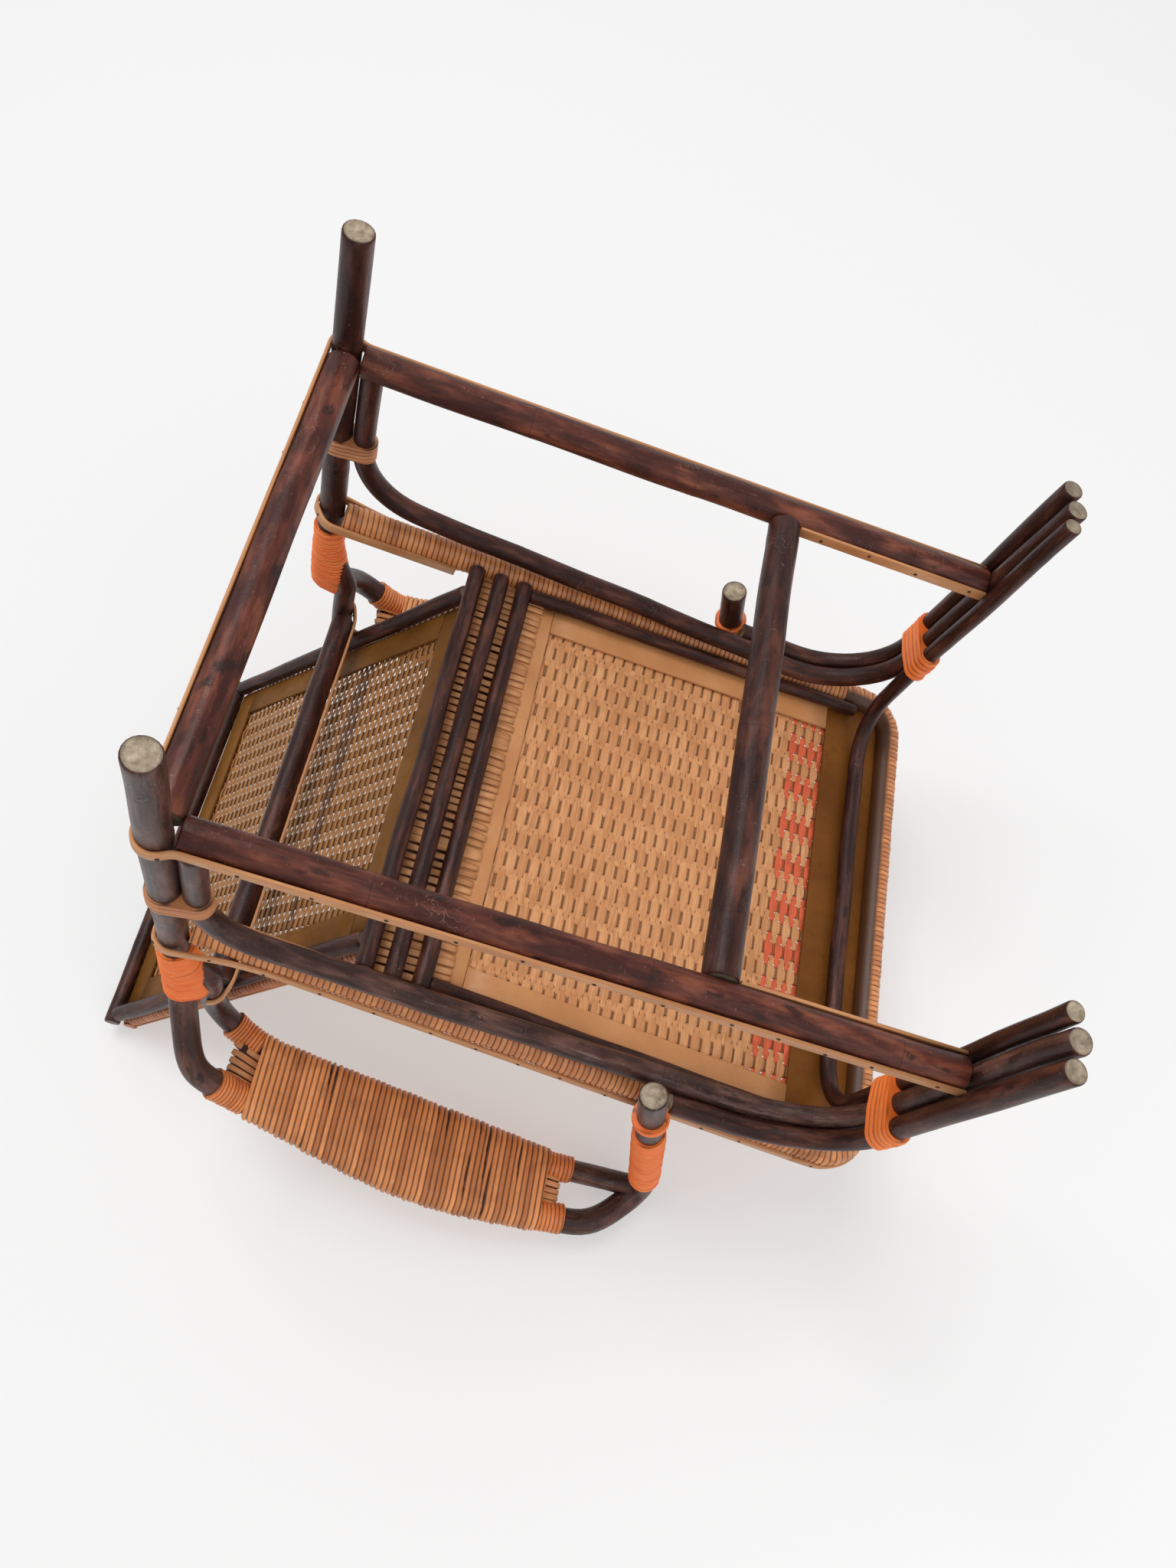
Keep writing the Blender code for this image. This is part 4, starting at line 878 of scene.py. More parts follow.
def hull_outline(circles, columns):
    """Even points round the tight outline of several circles, from the largest first coordinate,
    with their outward directions."""
    turns = turns_of(CIRCLE_POINTS)
    ring = np.stack([np.cos(turns), np.sin(turns)], axis=-1)
    rounds = [np.array(centre) + ring * radius for centre, radius in circles]
    dots = sorted(map(tuple, np.concatenate(rounds)))

    def chain(spots):
        kept = []
        for spot in spots:
            while len(kept) > 1 and ((kept[-1][0] - kept[-2][0]) * (spot[1] - kept[-2][1])
                                     - (kept[-1][1] - kept[-2][1]) * (spot[0] - kept[-2][0])) <= 0:
                kept.pop()
            kept.append(spot)
        return kept[:-1]

    loop = np.array(chain(dots) + chain(dots[::-1]))
    loop = np.roll(loop, -int(np.argmax(loop[:, 0])), axis=0)
    closed = np.vstack([loop, loop[:1]])
    lengths = lengths_along(closed)
    wanted = lengths[-1] * np.arange(columns) / columns
    even = np.stack([np.interp(wanted, lengths, closed[:, axis]) for axis in range(2)], axis=-1)
    run = np.roll(even, -1, axis=0) - np.roll(even, 1, axis=0)
    out = np.stack([run[:, 1], -run[:, 0]], axis=-1)
    return even, out / np.linalg.norm(out, axis=1)[:, None]


def bundle(nodes, axis, columns):
    """Outline round several poles at a place on an axis: 1 for y, 2 for z."""
    flat = [index for index in range(3) if index != axis]
    poles = [pole(node) for node in nodes]

    def outline(place):
        circles = []
        for course, radius in poles:
            length, slant = course.crossing(axis, place)
            circles.append((course.at(length)[0][flat], radius * min(slant, MOST_SLANT)))
        even, out = hull_outline(circles, columns)
        points = np.full((columns, 3), float(place))
        points[:, flat] = even
        ways = np.zeros((columns, 3))
        ways[:, flat] = out
        return points, ways

    return outline


def round_pole(course, radius, columns):
    """Outline round one pole at a length along it."""
    turns = turns_of(columns)

    def outline(length):
        centre, _, side, up = course.at(length)
        ways = np.cos(turns)[:, None] * side + np.sin(turns)[:, None] * up
        return centre + ways * radius, ways

    return outline


def wind(outline, start, end, pitch, thick, seed, lift=0.0, plain=None, groove=GROOVE_SHARE, loose=0.0):
    """One strand wound close round an outline, as a ridged skin from start to end. loose is the share
    of turns that leave a slit beside them on part of their way round."""
    turns = max(2, round(abs(end - start) / pitch))
    chance = random.Random(seed)
    uneven = np.array([1 + chance.uniform(-STRAND_UNEVEN, STRAND_UNEVEN) for _ in range(turns + 4)])
    gaps = [(chance.uniform(*SLIT_WIDE) if chance.random() < loose else 0.0, chance.random(),
             chance.uniform(*SLIT_LONG)) for _ in range(turns + 4)]
    widest, middles, reaches = (np.array(values) for values in zip(*gaps))
    rings = []
    along = []
    marks = []
    slits = []
    for row in range(turns * TURN_ROWS + 1):
        points, ways = outline(start + (end - start) * row / (turns * TURN_ROWS))
        columns = len(points)
        phase = row / TURN_ROWS - np.arange(columns + 1) / columns
        turn = np.floor(phase).astype(int)
        part = phase - turn
        share = np.arange(columns + 1) / columns
        away = np.abs((share - middles[turn + 2] + 0.5) % 1.0 - 0.5) / reaches[turn + 2]
        gap = widest[turn + 2] * np.clip(1.0 - away ** 2, 0.0, 1.0)
        ridge = 1 - np.abs(2 * np.clip(part / (1 - gap), 0.0, 1.0) - 1) ** 3
        size = uneven[turn + 2] * (1 - share) + uneven[turn + 1] * share
        high = (groove + (1 - groove) * ridge) * size
        bare = np.zeros(columns) if plain is None else plain(points, ways)
        high = high[:-1] * (1 - bare) + BARE_HEIGHT * bare
        rings.append(points + ways * (lift + thick * high)[:, None])
        along.append(phase)
        marks.append(bare)
        slits.append(np.where(part > 1 - gap + 1e-6, 1.0, 0.0)[:-1])
    return loft(rings, along, {"plain": marks, "slit": slits})


def make_pads(word):
    """Arm pad: cane wound round both rails, bare strips at its ends, short orange bindings."""
    nodes = ["arm_hoop_" + word, "inner_arm_rail_" + word]
    low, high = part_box("arm_pad_" + word)
    rear = high.y - PAD_BARE_REAR
    front = low.y + PAD_BARE_FRONT
    skin = wind(bundle(nodes, 1, PAD_COLUMNS), rear, front, PAD_PITCH, PAD_THICK, "pad" + word,
                groove=PAD_GROOVE, loose=PAD_LOOSE)
    build("arm_pad_winding_" + word, [skin], PAD_WINDING, ["arm_pad_" + word])
    courses = [pole(node) for node in nodes]

    def between(place, share, depth):
        ends = [course.at(course.crossing(1, place)[0])[0] for course, _ in courses]
        spot = ends[0] * (1 - share) + ends[1] * share
        return Vector(spot) - Vector((0.0, 0.0, depth))

    strips = []
    shade_backings = []
    chance = random.Random("strips" + word)
    for edge, out in ((rear, high.y), (front, low.y)):
        for number in range(PAD_STRIPS):
            share = PAD_STRIP_FIRST + PAD_STRIP_SPAN * number / (PAD_STRIPS - 1)
            share += chance.uniform(-0.01, 0.01)
            depth = PAD_STRIP_DEPTH * chance.uniform(0.85, 1.1)
            below = [(step, depth * part) for step, part in PAD_STRIP_RUN]
            run = [between(edge + (out - edge) * step, share, deep) for step, deep in
                   below + [(step, -deep) for step, deep in below[-2::-1]]]
            wide = PAD_STRIP_WIDE * chance.uniform(0.85, 1.12)
            strips.append(flat_strip(run, UPRIGHT, PAD_STRIP_THICK, wide, chance.uniform(0, 9)))
        # Behind the strips, a dark stained sheet between the rails: painted shade in the gaps between them.
        backing = [between(edge + (out - edge) * step, 0.5, 0.0) for step in PAD_SHADE_BACKING_STEPS]
        apart = (between(edge, 0.0, 0.0) - between(edge, 1.0, 0.0)).length
        shade_backings.append(flat_strip(backing, UPRIGHT, PAD_STRIP_DEPTH, apart * PAD_SHADE_BACKING_WIDE, 4.0,
                                {"knuckle": np.zeros(len(backing))}))
    build("arm_pad_strips_" + word, strips, SPLIT_CANE)
    build("arm_pad_shade_backing_" + word, shade_backings, STAINED_CANE)
    bindings = []
    for node, (course, radius) in zip(nodes, courses):
        outline = round_pole(course, radius, BINDING_COLUMNS)
        for place, way in ((rear, 1), (front, -1)):
            middle = course.crossing(1, place)[0]
            beyond = course.crossing(1, place + way * END_BINDING_LONG[way])[0]
            ends = sorted((middle, beyond))
            bindings.append(wind(outline, *ends, BINDING_PITCH, END_BINDING_THICK, node + str(way)))
    build("arm_pad_bindings_" + word, bindings, PAD_END_WINDING)


def make_bindings(word):
    """Orange bindings on post, front leg and drop, and the plain tie behind."""
    low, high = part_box("post_wrap_" + word)
    skin = wind(post_outline(word), low.z, high.z + POST_MORE, POST_PITCH[word], BINDING_THICK,
                "post" + word, loose=POST_LOOSE)
    build("post_binding_" + word, [skin], ORANGE_BINDING, ["post_wrap_" + word])
    leg = ["side_hoop_" + word, "outer_brace_" + word, "front_hoop"]
    low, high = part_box("leg_wrap_" + word)
    outline = lashed_outline("leg_wrap_" + word, leg, LEG_COLUMNS)
    skin = wind(outline, low.z, high.z, LEG_PITCH, BINDING_THICK, "leg" + word)
    build("leg_binding_" + word, [skin], ORANGE_BINDING, ["leg_wrap_" + word])
    low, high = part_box("drop_wrap_" + word)
    course, radius = pole("arm_hoop_" + word)
    ends = [drop_length(course, place) for place in (high.z, low.z)]
    outline = round_pole(course, radius, BINDING_COLUMNS)
    skins = [wind(outline, *ends, BINDING_PITCH, BINDING_THICK, "drop" + word)]
    ring = drop_length(course, low.z - DROP_RING_BELOW)
    skins.append(wind(outline, ring, ring + DROP_RING_LONG, DROP_RING_PITCH, DROP_RING_THICK, "ring" + word))
    build("drop_binding_" + word, skins, ORANGE_BINDING, ["drop_wrap_" + word])
    tie = ["arm_hoop_" + word, "side_hoop_" + word]
    low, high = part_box("post_tie_" + word)
    outline = lashed_outline("post_tie_" + word, tie, TIE_COLUMNS)
    skin = wind(outline, low.z + TIE_INSET, high.z - TIE_INSET, TIE_PITCH, TIE_THICK, "tie" + word)
    build("post_tie_winding_" + word, [skin], TIE_CANE, ["post_tie_" + word])


def drop_length(course, place):
    """Length along the arm pole at a height on its front drop."""
    values = course.points[:, 2]
    for index in range(len(values) - 1, 0, -1):
        if (values[index] - place) * (values[index - 1] - place) <= 0:
            share = (place - values[index - 1]) / (values[index] - values[index - 1])
            return course.lengths[index - 1] + share * (course.lengths[index] - course.lengths[index - 1])
    raise ValueError("the drop does not reach that height")


def outline_of(circles_at, columns=BINDING_COLUMNS):
    """Outline at a height round circles given by that height."""
    def outline(place):
        even, out = hull_outline(circles_at(place), columns)
        points = np.column_stack([even, np.full(columns, place)])
        return points, np.column_stack([out, np.zeros(columns)])
    return outline


def near_crossing(course, place, wanted):
    """Where a pole passes a height, the crossing that lies nearest to a wanted plan place."""
    found = []
    heights = course.points[:, 2]
    for index in range(len(heights) - 1):
        step = heights[index + 1] - heights[index]
        if step and (heights[index] - place) * (heights[index + 1] - place) <= 0:
            share = (place - heights[index]) / step
            spot = course.points[index] * (1 - share) + course.points[index + 1] * share
            found.append(spot[:2])
    return min(found, key=lambda spot: np.linalg.norm(spot - wanted))


def rail_beside(word, place, share):
    """Plan place at a height beside a post, some share of the way to the inner rail's start."""
    post = pole("arm_hoop_" + word)[0]
    begin = pole("inner_arm_rail_" + word)[0].at(0.0)[0]
    beside = begin[:2] - post.at(post.crossing(2, begin[2])[0])[0][:2]
    return post.at(post.crossing(2, place)[0])[0][:2] + beside * share


def post_outline(word):
    """The post, with a swell that grows towards the slanted end of the inner rail just beyond it."""
    post_radius = pole("arm_hoop_" + word)[1]
    rail_radius = pole("inner_arm_rail_" + word)[1]
    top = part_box("post_wrap_" + word)[1].z

    def circles_at(place):
        share = RAIL_END_SWELL * min(1.0, max(0.0, 1.0 - (top - place) / RAIL_END_SLANT))
        return [(rail_beside(word, place, 0.0), post_radius), (rail_beside(word, place, share), rail_radius)]

    return outline_of(circles_at)


def rail_lead(word):
    """Places and thickness shares of the inner rail's slanted end, which goes into the post's binding."""
    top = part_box("post_wrap_" + word)[1].z
    lead = []
    for drop, share, thickness in RAIL_LEAD:
        x, y = rail_beside(word, top - drop, share)
        lead.append((Vector((x, y, top - drop)), thickness))
    return lead


def rail_tail(word):
    """Where the inner rail's front end meets the arm pole's drop."""
    drop = pole("arm_hoop_" + word)[0]
    end = pole("inner_arm_rail_" + word)[0].points[-1]
    return [drop.at(drop_length(drop, end[2] - RAIL_TAIL_DROP))[0]]


def hoop_tail(word):
    """The side hoop's rear end, which runs on beside the stretcher."""
    course = pole("side_hoop_" + word)[0]
    return [course.points[-1] + course.ways[-1] * HOOP_TAIL]


def lashed_outline(wrap, nodes, columns):
    """Outline round the poles that a binding holds, each where it passes nearest to the binding's middle."""
    low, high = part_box(wrap)
    wanted = np.array([(low.x + high.x) / 2, (low.y + high.y) / 2])

    def circles_at(place):
        return [(near_crossing(pole(node)[0], place, wanted), pole(node)[1]) for node in nodes]

    return outline_of(circles_at, columns)


def make_rail(node, plain=None):
    """Seat rail wound with cane for its whole length."""
    course, radius = pole(node)
    outline = round_pole(course, radius, BINDING_COLUMNS)
    skin = wind(outline, 0.0, course.total, RAIL_PITCH, RAIL_THICK, node, RAIL_LIFT - RAIL_THICK, plain,
                RAIL_GROOVE)
    build(node + "_winding", [skin], RAIL_CANE, [node])


def front_rail_plain(points, ways):
    """The front rail's cane covers its outside; on the side towards the seat the bare rail shows."""
    centre = points.mean(axis=0)
    inward = np.array([min(max(centre[0], -FRONT_STRAIGHT), FRONT_STRAIGHT), FRONT_BEND_Y, 0.0]) - centre
    inward[2] = 0.0
    inward /= np.linalg.norm(inward)
    return np.clip(ways @ inward / BARE_BLEND, 0.0, 1.0)


def make_back_edges():
    """Slim wound canes along the front of the back's frame, with a split strip on each."""
    strips = []
    normal = plate_corners("back_border_left")[1]
    for node in ("back_front_top", "back_front_pole_left", "back_front_pole_right"):
        course, radius = pole(node)
        outline = round_pole(course, radius, EDGE_COLUMNS)
        skin = wind(outline, 0.0, course.total, EDGE_PITCH, EDGE_THICK, node, EDGE_LIFT - EDGE_THICK)
        build(node + "_winding", [skin], BACK_CANE, [node])
        out = normal * (radius + EDGE_STRIP_OUT)
        run = [Vector(course.at(length)[0]) + out for length in (0.0, course.total)]
        strips.append(flat_strip(run, normal, EDGE_STRIP_THICK, EDGE_STRIP_WIDE, len(strips) * 3.1))
    build("back_edge_strips", strips, SPLIT_CANE)


# Strips, boards and nails

def rounded_profile(thick, wide, round_off):
    """Corners of a flat strip's section, rounded; first coordinate through it, second across it."""
    profile = []
    for sign_a, sign_b, first in ((1, 1, 0), (-1, 1, 1), (-1, -1, 2), (1, -1, 3)):
        for step in range(CORNER_STEPS + 1):
            angle = math.pi / 2 * (first + step / CORNER_STEPS)
            profile.append((sign_a * (thick / 2 - round_off) + round_off * math.cos(angle),
                            sign_b * (wide / 2 - round_off) + round_off * math.sin(angle)))
    return np.array(profile)


def flat_strip(points, through, thick, wide, seed, marks=None):
    """A flat strip along points; through is the direction through its thickness at the start."""
    course = Course(points, through)
    profile = rounded_profile(thick, wide, min(STRIP_ROUND, thick * STRIP_ROUND_SHARE))
    rings = []
    for length in course.lengths:
        centre, _, side, up = course.at(length)
        rings.append(centre + profile[:, :1] * side + profile[:, 1:] * up)
    return loft(rings, course.lengths + seed, marks)


def make_strip(node, wide_way, nails_inside=False):
    """Split-cane strip bent along its course and nailed every few centimetres."""
    points, wide, thick = strip_line(node, wide_way)
    points = eased(points)
    start = (points[1] - points[0]).normalized().cross(wide_way)
    build(node + "_cane", [flat_strip(points, start, thick, wide, random.Random(node).uniform(0, 20))],
          SPLIT_CANE, [node])
    course = Course(points, start)
    chance = random.Random("nails" + node)
    heads = []
    length = NAIL_APART / 2
    while length < course.total - NAIL_RADIUS * 2:
        centre, _, side, up = course.at(length)
        out = side if side[:2].dot(centre[:2]) > 0 else -side
        out = -out if nails_inside else out
        heads.append(nail_head(centre + up * wide * chance.uniform(-0.2, 0.2), out, thick / 2))
        length += NAIL_APART * chance.uniform(0.75, 1.25)
    build(node + "_nails", heads, IRON_NAIL)


def nail_head(place, out, depth):
    """A low domed nail head that stands on a strip's face."""
    out = Vector(out).normalized()
    first = out.orthogonal().normalized()
    second = out.cross(first)
    turns = turns_of(NAIL_SIDES)
    rings = []
    for lift, size in [(NAIL_FOOT, 0.8)] + [(rise * NAIL_RISE, size) for rise, size in NAIL_PROFILE]:
        centre = Vector(place) + out * (depth + lift)
        rings.append([centre + (first * math.cos(t) + second * math.sin(t)) * NAIL_RADIUS * size
                      for t in turns])
    return loft(rings, np.arange(len(rings)) * 0.001)


def make_board(node, finish):
    """Flat border strip with eased edges, its grain along its longer way."""
    corners, normal, thick = plate_corners(node)
    if (corners[1] - corners[0]).length > (corners[2] - corners[1]).length:
        corners = corners[1:] + corners[:1]
    first, second, third, fourth = corners
    if normal.cross(second - first).dot(fourth - first) < 0:
        first, second, third, fourth = second, first, fourth, third
    steps = max(4, round((fourth - first).length / BOARD_STEP))
    rings = [board_ring(first.lerp(fourth, step / steps), second.lerp(third, step / steps), normal, thick)
             for step in range(steps + 1)]
    lengths = np.linspace(0.0, (fourth - first).length, steps + 1) + random.Random(node).uniform(0, 20)
    build(node + "_board", [loft(rings, lengths)], finish, [node])


def board_ring(left, right, normal, thick):
    """One section of a board between two points of its upper face."""
    span = right - left
    profile = rounded_profile(thick, span.length, BOARD_ROUND)
    middle = (left + right) / 2 - normal * thick / 2
    across = np.array(span.normalized())
    return np.array(middle) + profile[:, :1] * np.array(normal) + profile[:, 1:] * across


def make_front_board():
    """The front border: as wide as the seat, its front edge let into the rail and round its corners."""
    corners, normal, thick = plate_corners("seat_border_front")
    middle, along = sheet_plan("seat_panel", "seat_border_front")[:2]
    level = normal * (corners[0] - middle).dot(normal)
    rear = max((corner - middle).dot(along) for corner in corners)
    course, radius = pole("seat_front_rail")
    inset = radius - BOARD_LET_IN
    inner = []
    for length in np.linspace(0.0, course.total, 160):
        centre, way, _, _ = course.at(length)
        inward = np.cross(np.array(normal), way)
        inward = inward if inward.dot(np.array(middle) - centre) > 0 else -inward
        spot = Vector(centre + inward * inset) - middle
        if spot.x > 0:
            inner.append((spot.x, spot.dot(along)))
    inner.sort()
    widths, fronts = (np.array(values) for values in zip(*inner))
    far = widths[fronts < rear - FRONT_BOARD_LEAST].max()
    rings = []
    bend = far - FRONT_BOARD_CURVED
    places = np.concatenate([-np.linspace(far, bend, 12), np.linspace(-bend, bend, 14)[1:-1],
                             np.linspace(bend, far, 12)])
    for place in places:
        front = np.interp(abs(place), widths, fronts)
        near, away = (middle + level + ACROSS * place + along * run for run in (front, rear))
        rings.append(board_ring(away, near, normal, thick))
    if normal.cross(-along).dot(ACROSS) < 0:
        rings = [ring[::-1] for ring in rings]
    build("seat_border_front_board", [loft(rings, places + 3.0)], FRONT_CANE,
          ["seat_border_front"])


def make_rear_band():
    """Cane strands laid close across the seat's rear bars, on a dark core, with loose ends in front."""
    corners, normal, thick = plate_corners("seat_rear_rail")
    along = normal.cross(ACROSS)
    middle = middle_of(corners) - normal * thick
    runs = [(corner - middle).dot(along) for corner in corners]
    front, rear = min(runs), max(runs)
    half = min(abs(corner.x) for corner in corners) + BAND_OVERHANG
    chance = random.Random("rear band")
    strands = []
    place = -half + BAND_PITCH / 2
    while place < half - BAND_PITCH / 2:
        wide = BAND_WIDE * chance.uniform(0.80, 1.08)
        rise = BAND_RISE + chance.uniform(-0.0003, 0.0003)
        end = front - BAND_FRINGE * chance.uniform(0.90, 1.0)
        run = [rear, (rear + front) / 2, front, (front + end) / 2, end]
        swing = chance.uniform(-0.0006, 0.0006)
        centres = [middle + along * spot + ACROSS * (place + swing * number) + normal * rise
                   for number, spot in enumerate(run)]
        tone = np.full(len(run), chance.random())
        zeros = np.zeros(len(run))
        strands.append(weave_strand(centres, normal.cross(-along), normal, wide, BAND_THICK,
                                    chance.uniform(0, 40), {"red": zeros, "brown_dye_and_warp_shade": zeros, "tone": tone}))
        place += BAND_PITCH * chance.uniform(0.86, 1.14)
    build("seat_rear_strands", strands, WOVEN_CANE, ["seat_rear_rail"])
    top = middle + normal * thick
    ends = [top + along * (front + rear) / 2 + ACROSS * side * half for side in (-1, 1)]
    reach = along * (rear - front) / 2
    rings = [board_ring(end - reach, end + reach, normal, thick / 2) for end in ends]
    if normal.cross(along).dot(ACROSS) < 0:
        rings = [ring[::-1] for ring in rings]
    backing = loft(rings, np.array([0.0, 2 * half]), {"knuckle": np.zeros(2)})
    build("seat_rear_core", [backing], STAINED_CANE)


def weave_strand(centres, side, normal, wide, thick, seed, marks):
    """One flat woven strand along its centres, of an even width or a width at each centre."""
    section = np.array([(0.5, 0.0), (0.33, 0.46), (-0.33, 0.46),
                        (-0.5, 0.0), (-0.33, -0.46), (0.33, -0.46)])
    widths = np.broadcast_to(np.asarray(wide, dtype=float), (len(centres),))
    flat = widths[:, None, None] * section[None, :, :1] * np.array(side)
    rings = np.array(centres)[:, None, :] + flat + section[None, :, 1:] * thick * np.array(normal)
    return loft(rings, lengths_along(np.array(centres)) + seed, marks)


def make_weave(node, border, name, finish, pitches, widths, dyes, open_to):
    """Plain weave: wefts from side to side that pass over and under broad warps. Up to open_to along
    the sheet, neighbouring wefts narrow and part at each warp's edges, which leaves small holes."""
    middle, along, normal, runs, halves = sheet_plan(node, border)
    weft_pitch, warp_pitch = pitches
    weft_wide, warp_wide = widths
    chance = random.Random(name)
    low, high = runs[0] + WEAVE_MARGIN, runs[-1] - WEAVE_MARGIN
    open_wide = min(weft_wide, OPEN_WEFT_WIDE)
    places = np.arange(low + weft_wide / 2, high - weft_wide / 2, weft_pitch)
    columns = int((max(halves) - warp_wide / 2) / warp_pitch)
    reach = int(max(halves) / warp_pitch) + 1
    stops = np.concatenate([(number + np.array(WEFT_STOPS)) * warp_pitch
                            for number in range(-reach, reach + 1)])
    strands = []
    for row, place in enumerate(places):
        half = np.interp(place, runs, halves) - WEAVE_MARGIN
        across = np.concatenate([[-half], stops[np.abs(stops) < half - 1e-4], [half]])
        jog = chance.uniform(-WEFT_JOG, WEFT_JOG)
        wave = np.cos(np.pi * (across / warp_pitch + row))
        climb = np.clip((np.abs(wave) - WEFT_LEVEL) / WEFT_CLIMB, 0.0, 1.0)
        rise = WEFT_RISE * np.sign(wave) * climb ** 2 * (3 - 2 * climb) * chance.uniform(0.94, 1.06)
        spread = weft_wide * chance.uniform(0.95, 1.02)
        sway = WEFT_SWAY * np.array([noise.noise((x * 60, row * 3.7, 0.0)) for x in across])
        warp = np.round(across / warp_pitch)
        beside = np.abs(np.abs(across - warp * warp_pitch) - HOLE_OFF) / HOLE_LONG
        if place < open_to:
            pinch = np.exp(-beside ** 2)
            sway += HOLE_PART * pinch * np.where((warp + row) % 2 == 0, -1.0, 1.0)
            spread = spread - (weft_wide - open_wide) * pinch
        centres = [middle + along * (place + jog + drift) + ACROSS * x + normal * z
                   for x, z, drift in zip(across, rise, sway)]
        red, brown_dye_and_warp_shade = dyes(across, place, row)
        brick = np.floor(across / warp_pitch + 0.5).astype(int)
        tones = [chance.uniform(0.15, 0.85) for _ in range(brick.max() - brick.min() + 1)]
        tone = np.array([tones[number - brick.min()] for number in brick])
        strands.append(weave_strand(centres, along, normal, spread, STRAND_THICK, chance.uniform(0, 40),
                                    {"red": red, "brown_dye_and_warp_shade": brown_dye_and_warp_shade, "tone": tone}))
    fine = np.linspace(low, high, 400)
    room = np.interp(fine, runs, halves) - WEAVE_MARGIN - warp_wide / 2
    for column in range(-columns, columns + 1):
        x = column * warp_pitch
        inside = fine[room > abs(x)]
        own = np.arange(inside[0], inside[-1], weft_pitch)
        centres = [middle + along * run + ACROSS * x for run in own]
        # Warps: a share of the brown and lower tones, as painted shade for the slits between wefts where
        # they show.
        strands.append(weave_strand(centres, -ACROSS, normal, warp_wide * chance.uniform(0.94, 1.03),
                                    STRAND_THICK * WARP_THICK_SHARE, chance.uniform(0, 40),
                                    {"red": np.zeros(len(own)), "brown_dye_and_warp_shade": np.full(len(own), 0.45),
                                     "tone": np.full(len(own), chance.uniform(0.1, 0.6))}))
    build(name, strands, finish, [node])


def seat_dyes_from(edge):
    """Every other weft is dyed red in a band behind the front border's edge."""
    def dyes(across, place, row):
        red = 0.92 if row % 2 == 0 and edge - RED_UNDER < place < edge + RED_BAND else 0.0
        return np.full(len(across), red), np.zeros(len(across))
    return dyes


def back_dyes(across, place, row):
    """Brown wefts in one band low on the back, a little broader towards the right."""
    low, high = BROWN_BAND
    share = np.clip((high - BROWN_SLANT * across - place) / BROWN_EDGE, 0.0, 1.0)
    share *= np.clip((place - low) / BROWN_EDGE, 0.0, 1.0)
    return np.zeros(len(across)), share * (0.92 if row % 2 else 0.80)


# The chair
DARK = ["side_hoop", "inner_arm_rail", "outer_brace", "arm_hoop", "seat_side_pole", "back_side_pole"]
WORN = ["arm_hoop", "inner_arm_rail", "side_hoop"]
TAILS = {"inner_arm_rail": rail_tail, "side_hoop": hoop_tail}
for word in SIDES:
    for kind in DARK:
        finish = WORN_CANE if word == "left" and kind in WORN else STAINED_CANE
        lead = rail_lead(word) if kind == "inner_arm_rail" else ()
        tail = TAILS[kind](word) if kind in TAILS else ()
        make_pole(kind + "_" + word, finish, lead, tail)
    make_pole("side_stretcher_" + word, REDDENED_CANE)
    make_pads(word)
    make_bindings(word)
    make_rail("seat_side_rail_" + word)
for node in ("front_hoop", "back_bottom_bar", "seat_rear_bar", "seat_under_batten", "back_cross_rail",
             "back_top_rail"):
    make_pole(node, STAINED_CANE)
make_pole("rear_stretcher", REDDENED_CANE)
make_pole("middle_stretcher", STAINED_CANE)
make_rail("seat_front_rail", front_rail_plain)
make_back_edges()
SEAT_UP = plate_corners("seat_border_left")[1]
make_strip("stretcher_strip", UPRIGHT)
make_strip("cross_rail_strip", UPRIGHT)
for word in SIDES:
    make_strip("stretcher_inner_strip_" + word, UPRIGHT, True)
    make_strip("seat_trim_" + word, SEAT_UP)
make_strip("seat_trim_front", SEAT_UP)
for word in ("rear", "left", "right"):
    make_board("seat_border_" + word, BORDER_CANE)
for word in ("left", "right", "bottom", "top"):
    make_board("back_border_" + word, BACK_BOARD_PAINTED_SHADE)
make_front_board()
make_rear_band()
SEAT_MIDDLE, SEAT_ALONG = sheet_plan("seat_panel", "seat_border_left")[:2]
RED_EDGE = max((corner - SEAT_MIDDLE).dot(SEAT_ALONG) for corner in plate_corners("seat_border_front")[0])
make_weave("seat_panel", "seat_border_left", "seat_weave", WOVEN_CANE, (WEFT_PITCH, WARP_PITCH),
           (WEFT_WIDE, WARP_WIDE), seat_dyes_from(RED_EDGE), RED_EDGE + RED_BAND)
make_weave("back_panel", "back_border_left", "back_weave", BACK_WOVEN_PAINTED_SHADE, (BACK_WEFT_PITCH, BACK_WARP_PITCH),
           (BACK_WEFT_WIDE, BACK_WARP_WIDE), back_dyes, 1.0)


# Stage, light and camera

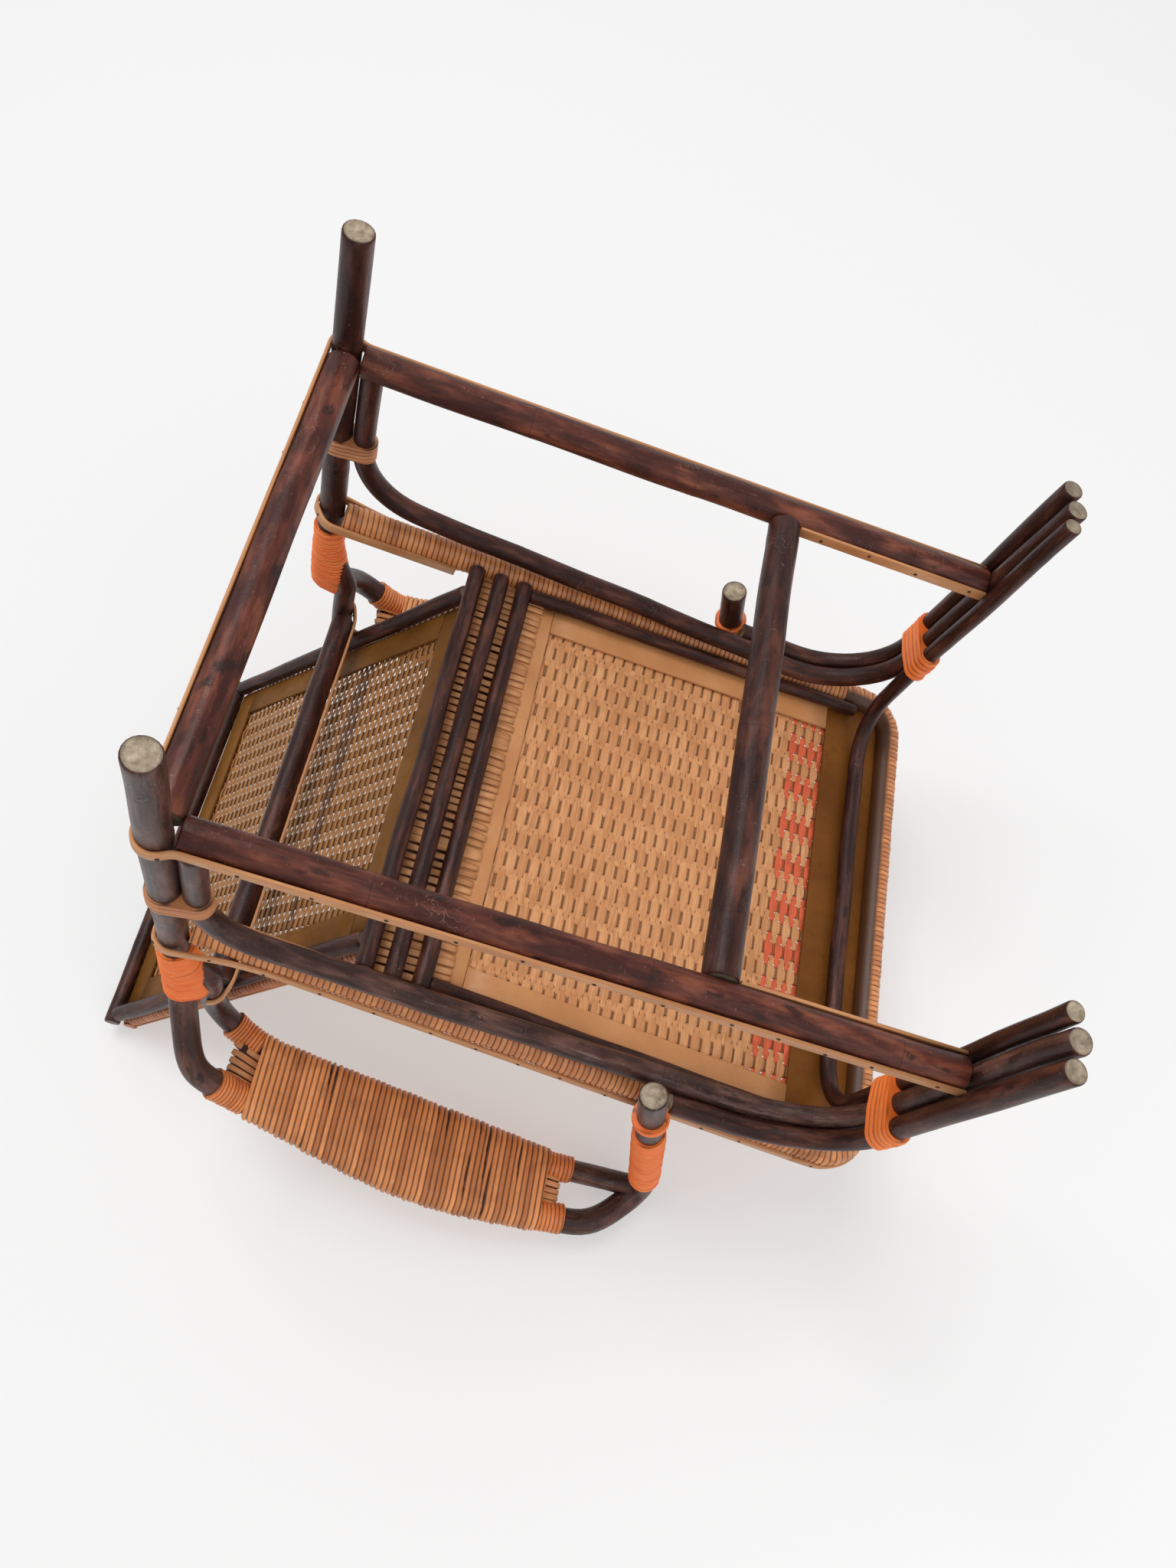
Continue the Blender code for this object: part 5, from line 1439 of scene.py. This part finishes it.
def stage_finish(name, fades):
    """Pale surface seen from its front only, which lets light through and keeps the shadows on it."""
    material = bpy.data.materials.new(name)
    material.use_nodes = True
    tree = material.node_tree
    tree.nodes.clear()
    seen = add(tree, "ShaderNodeLightPath").outputs
    rays = sums(tree, "MAXIMUM", sums(tree, "MAXIMUM", seen["Is Camera Ray"], seen["Is Glossy Ray"]),
                seen["Is Transmission Ray"])
    behind = add(tree, "ShaderNodeNewGeometry").outputs["Backfacing"]
    shown = sums(tree, "MULTIPLY", rays, sums(tree, "SUBTRACT", 1.0, behind))
    if fades:
        edge_on = add(tree, "ShaderNodeLayerWeight", {"Blend": 0.5}).outputs["Facing"]
        shown = sums(tree, "MULTIPLY", shown, band(tree, edge_on, *GRAZING, 1.0, 0.0))
    pale = add(tree, "ShaderNodeBsdfDiffuse", {"Color": GROUND_TONE})
    clear = add(tree, "ShaderNodeBsdfTransparent")
    glow = add(tree, "ShaderNodeEmission", {"Color": colour(1.0, 1.0, 1.0), "Strength": GROUND_LEVEL})
    soft = add(tree, "ShaderNodeMixShader", {0: GROUND_GLOW, 1: pale.outputs[0], 2: glow.outputs[0]})
    both = add(tree, "ShaderNodeMixShader", {0: shown, 1: clear.outputs[0], 2: soft.outputs[0]})
    add(tree, "ShaderNodeOutputMaterial", {"Surface": both.outputs[0]})
    return material


def stage_plane(name, height_at, facing_up):
    reach = STAGE_HALF
    plan = ((-reach, -reach), (reach, -reach), (reach, reach), (-reach, reach))
    corners = [(x, y, height_at(y)) for x, y in plan]
    mesh = bpy.data.meshes.new(name)
    mesh.from_pydata(corners, [], [(0, 1, 2, 3) if facing_up else (3, 2, 1, 0)])
    mesh.materials.append(stage_finish(name + "_tone", not facing_up))
    plane = bpy.data.objects.new(name, mesh)
    bpy.context.scene.collection.objects.link(plane)


ARM_FRONT, ARM_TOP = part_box("arm_hoop_left")
BACK_FRONT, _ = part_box("back_front_top")
GROUND_SLOPE = (CAD_HIGH.z - ARM_TOP.z) / (BACK_FRONT.y - ARM_FRONT.y)
stage_plane("pale_ground", lambda y: ARM_TOP.z + GROUND_GAP + GROUND_SLOPE * (y - ARM_FRONT.y), False)
stage_plane("pale_floor", lambda y: CAD_LOW.z, True)


def lamp(name, place, power, size):
    data = bpy.data.lights.new(name, "AREA")
    data.energy = power
    data.size = size
    light = bpy.data.objects.new(name, data)
    light.location = place
    light.rotation_euler = (LAMP_AIM - Vector(place)).to_track_quat("-Z", "Y").to_euler()
    bpy.context.scene.collection.objects.link(light)


for values in LAMPS:
    lamp(*values)

world = bpy.data.worlds.new("pale_room")
bpy.context.scene.world = world
world.use_nodes = True
room = world.node_tree
room.nodes.clear()
seen = add(room, "ShaderNodeLightPath").outputs["Is Camera Ray"]
level = band(room, seen, 0.0, 1.0, ROOM_LIGHT, ROOM_SEEN)
back = add(room, "ShaderNodeBackground", {"Color": colour(1.0, 0.995, 0.985), "Strength": level})
add(room, "ShaderNodeOutputWorld", {"Surface": back.outputs[0]})

camera_data = bpy.data.cameras.new("photo_camera")
camera_data.sensor_fit = "AUTO"
camera_data.sensor_width = CAMERA_SENSOR
camera_data.lens = CAMERA_LENS
camera_data.clip_start = 0.01
camera = bpy.data.objects.new("photo_camera", camera_data)
camera.location = CAMERA_PLACE
camera.rotation_euler = CAMERA_TURN
bpy.context.scene.collection.objects.link(camera)
bpy.context.scene.camera = camera
bpy.context.scene.view_settings.view_transform = "Standard"

bpy.context.view_layer.update()
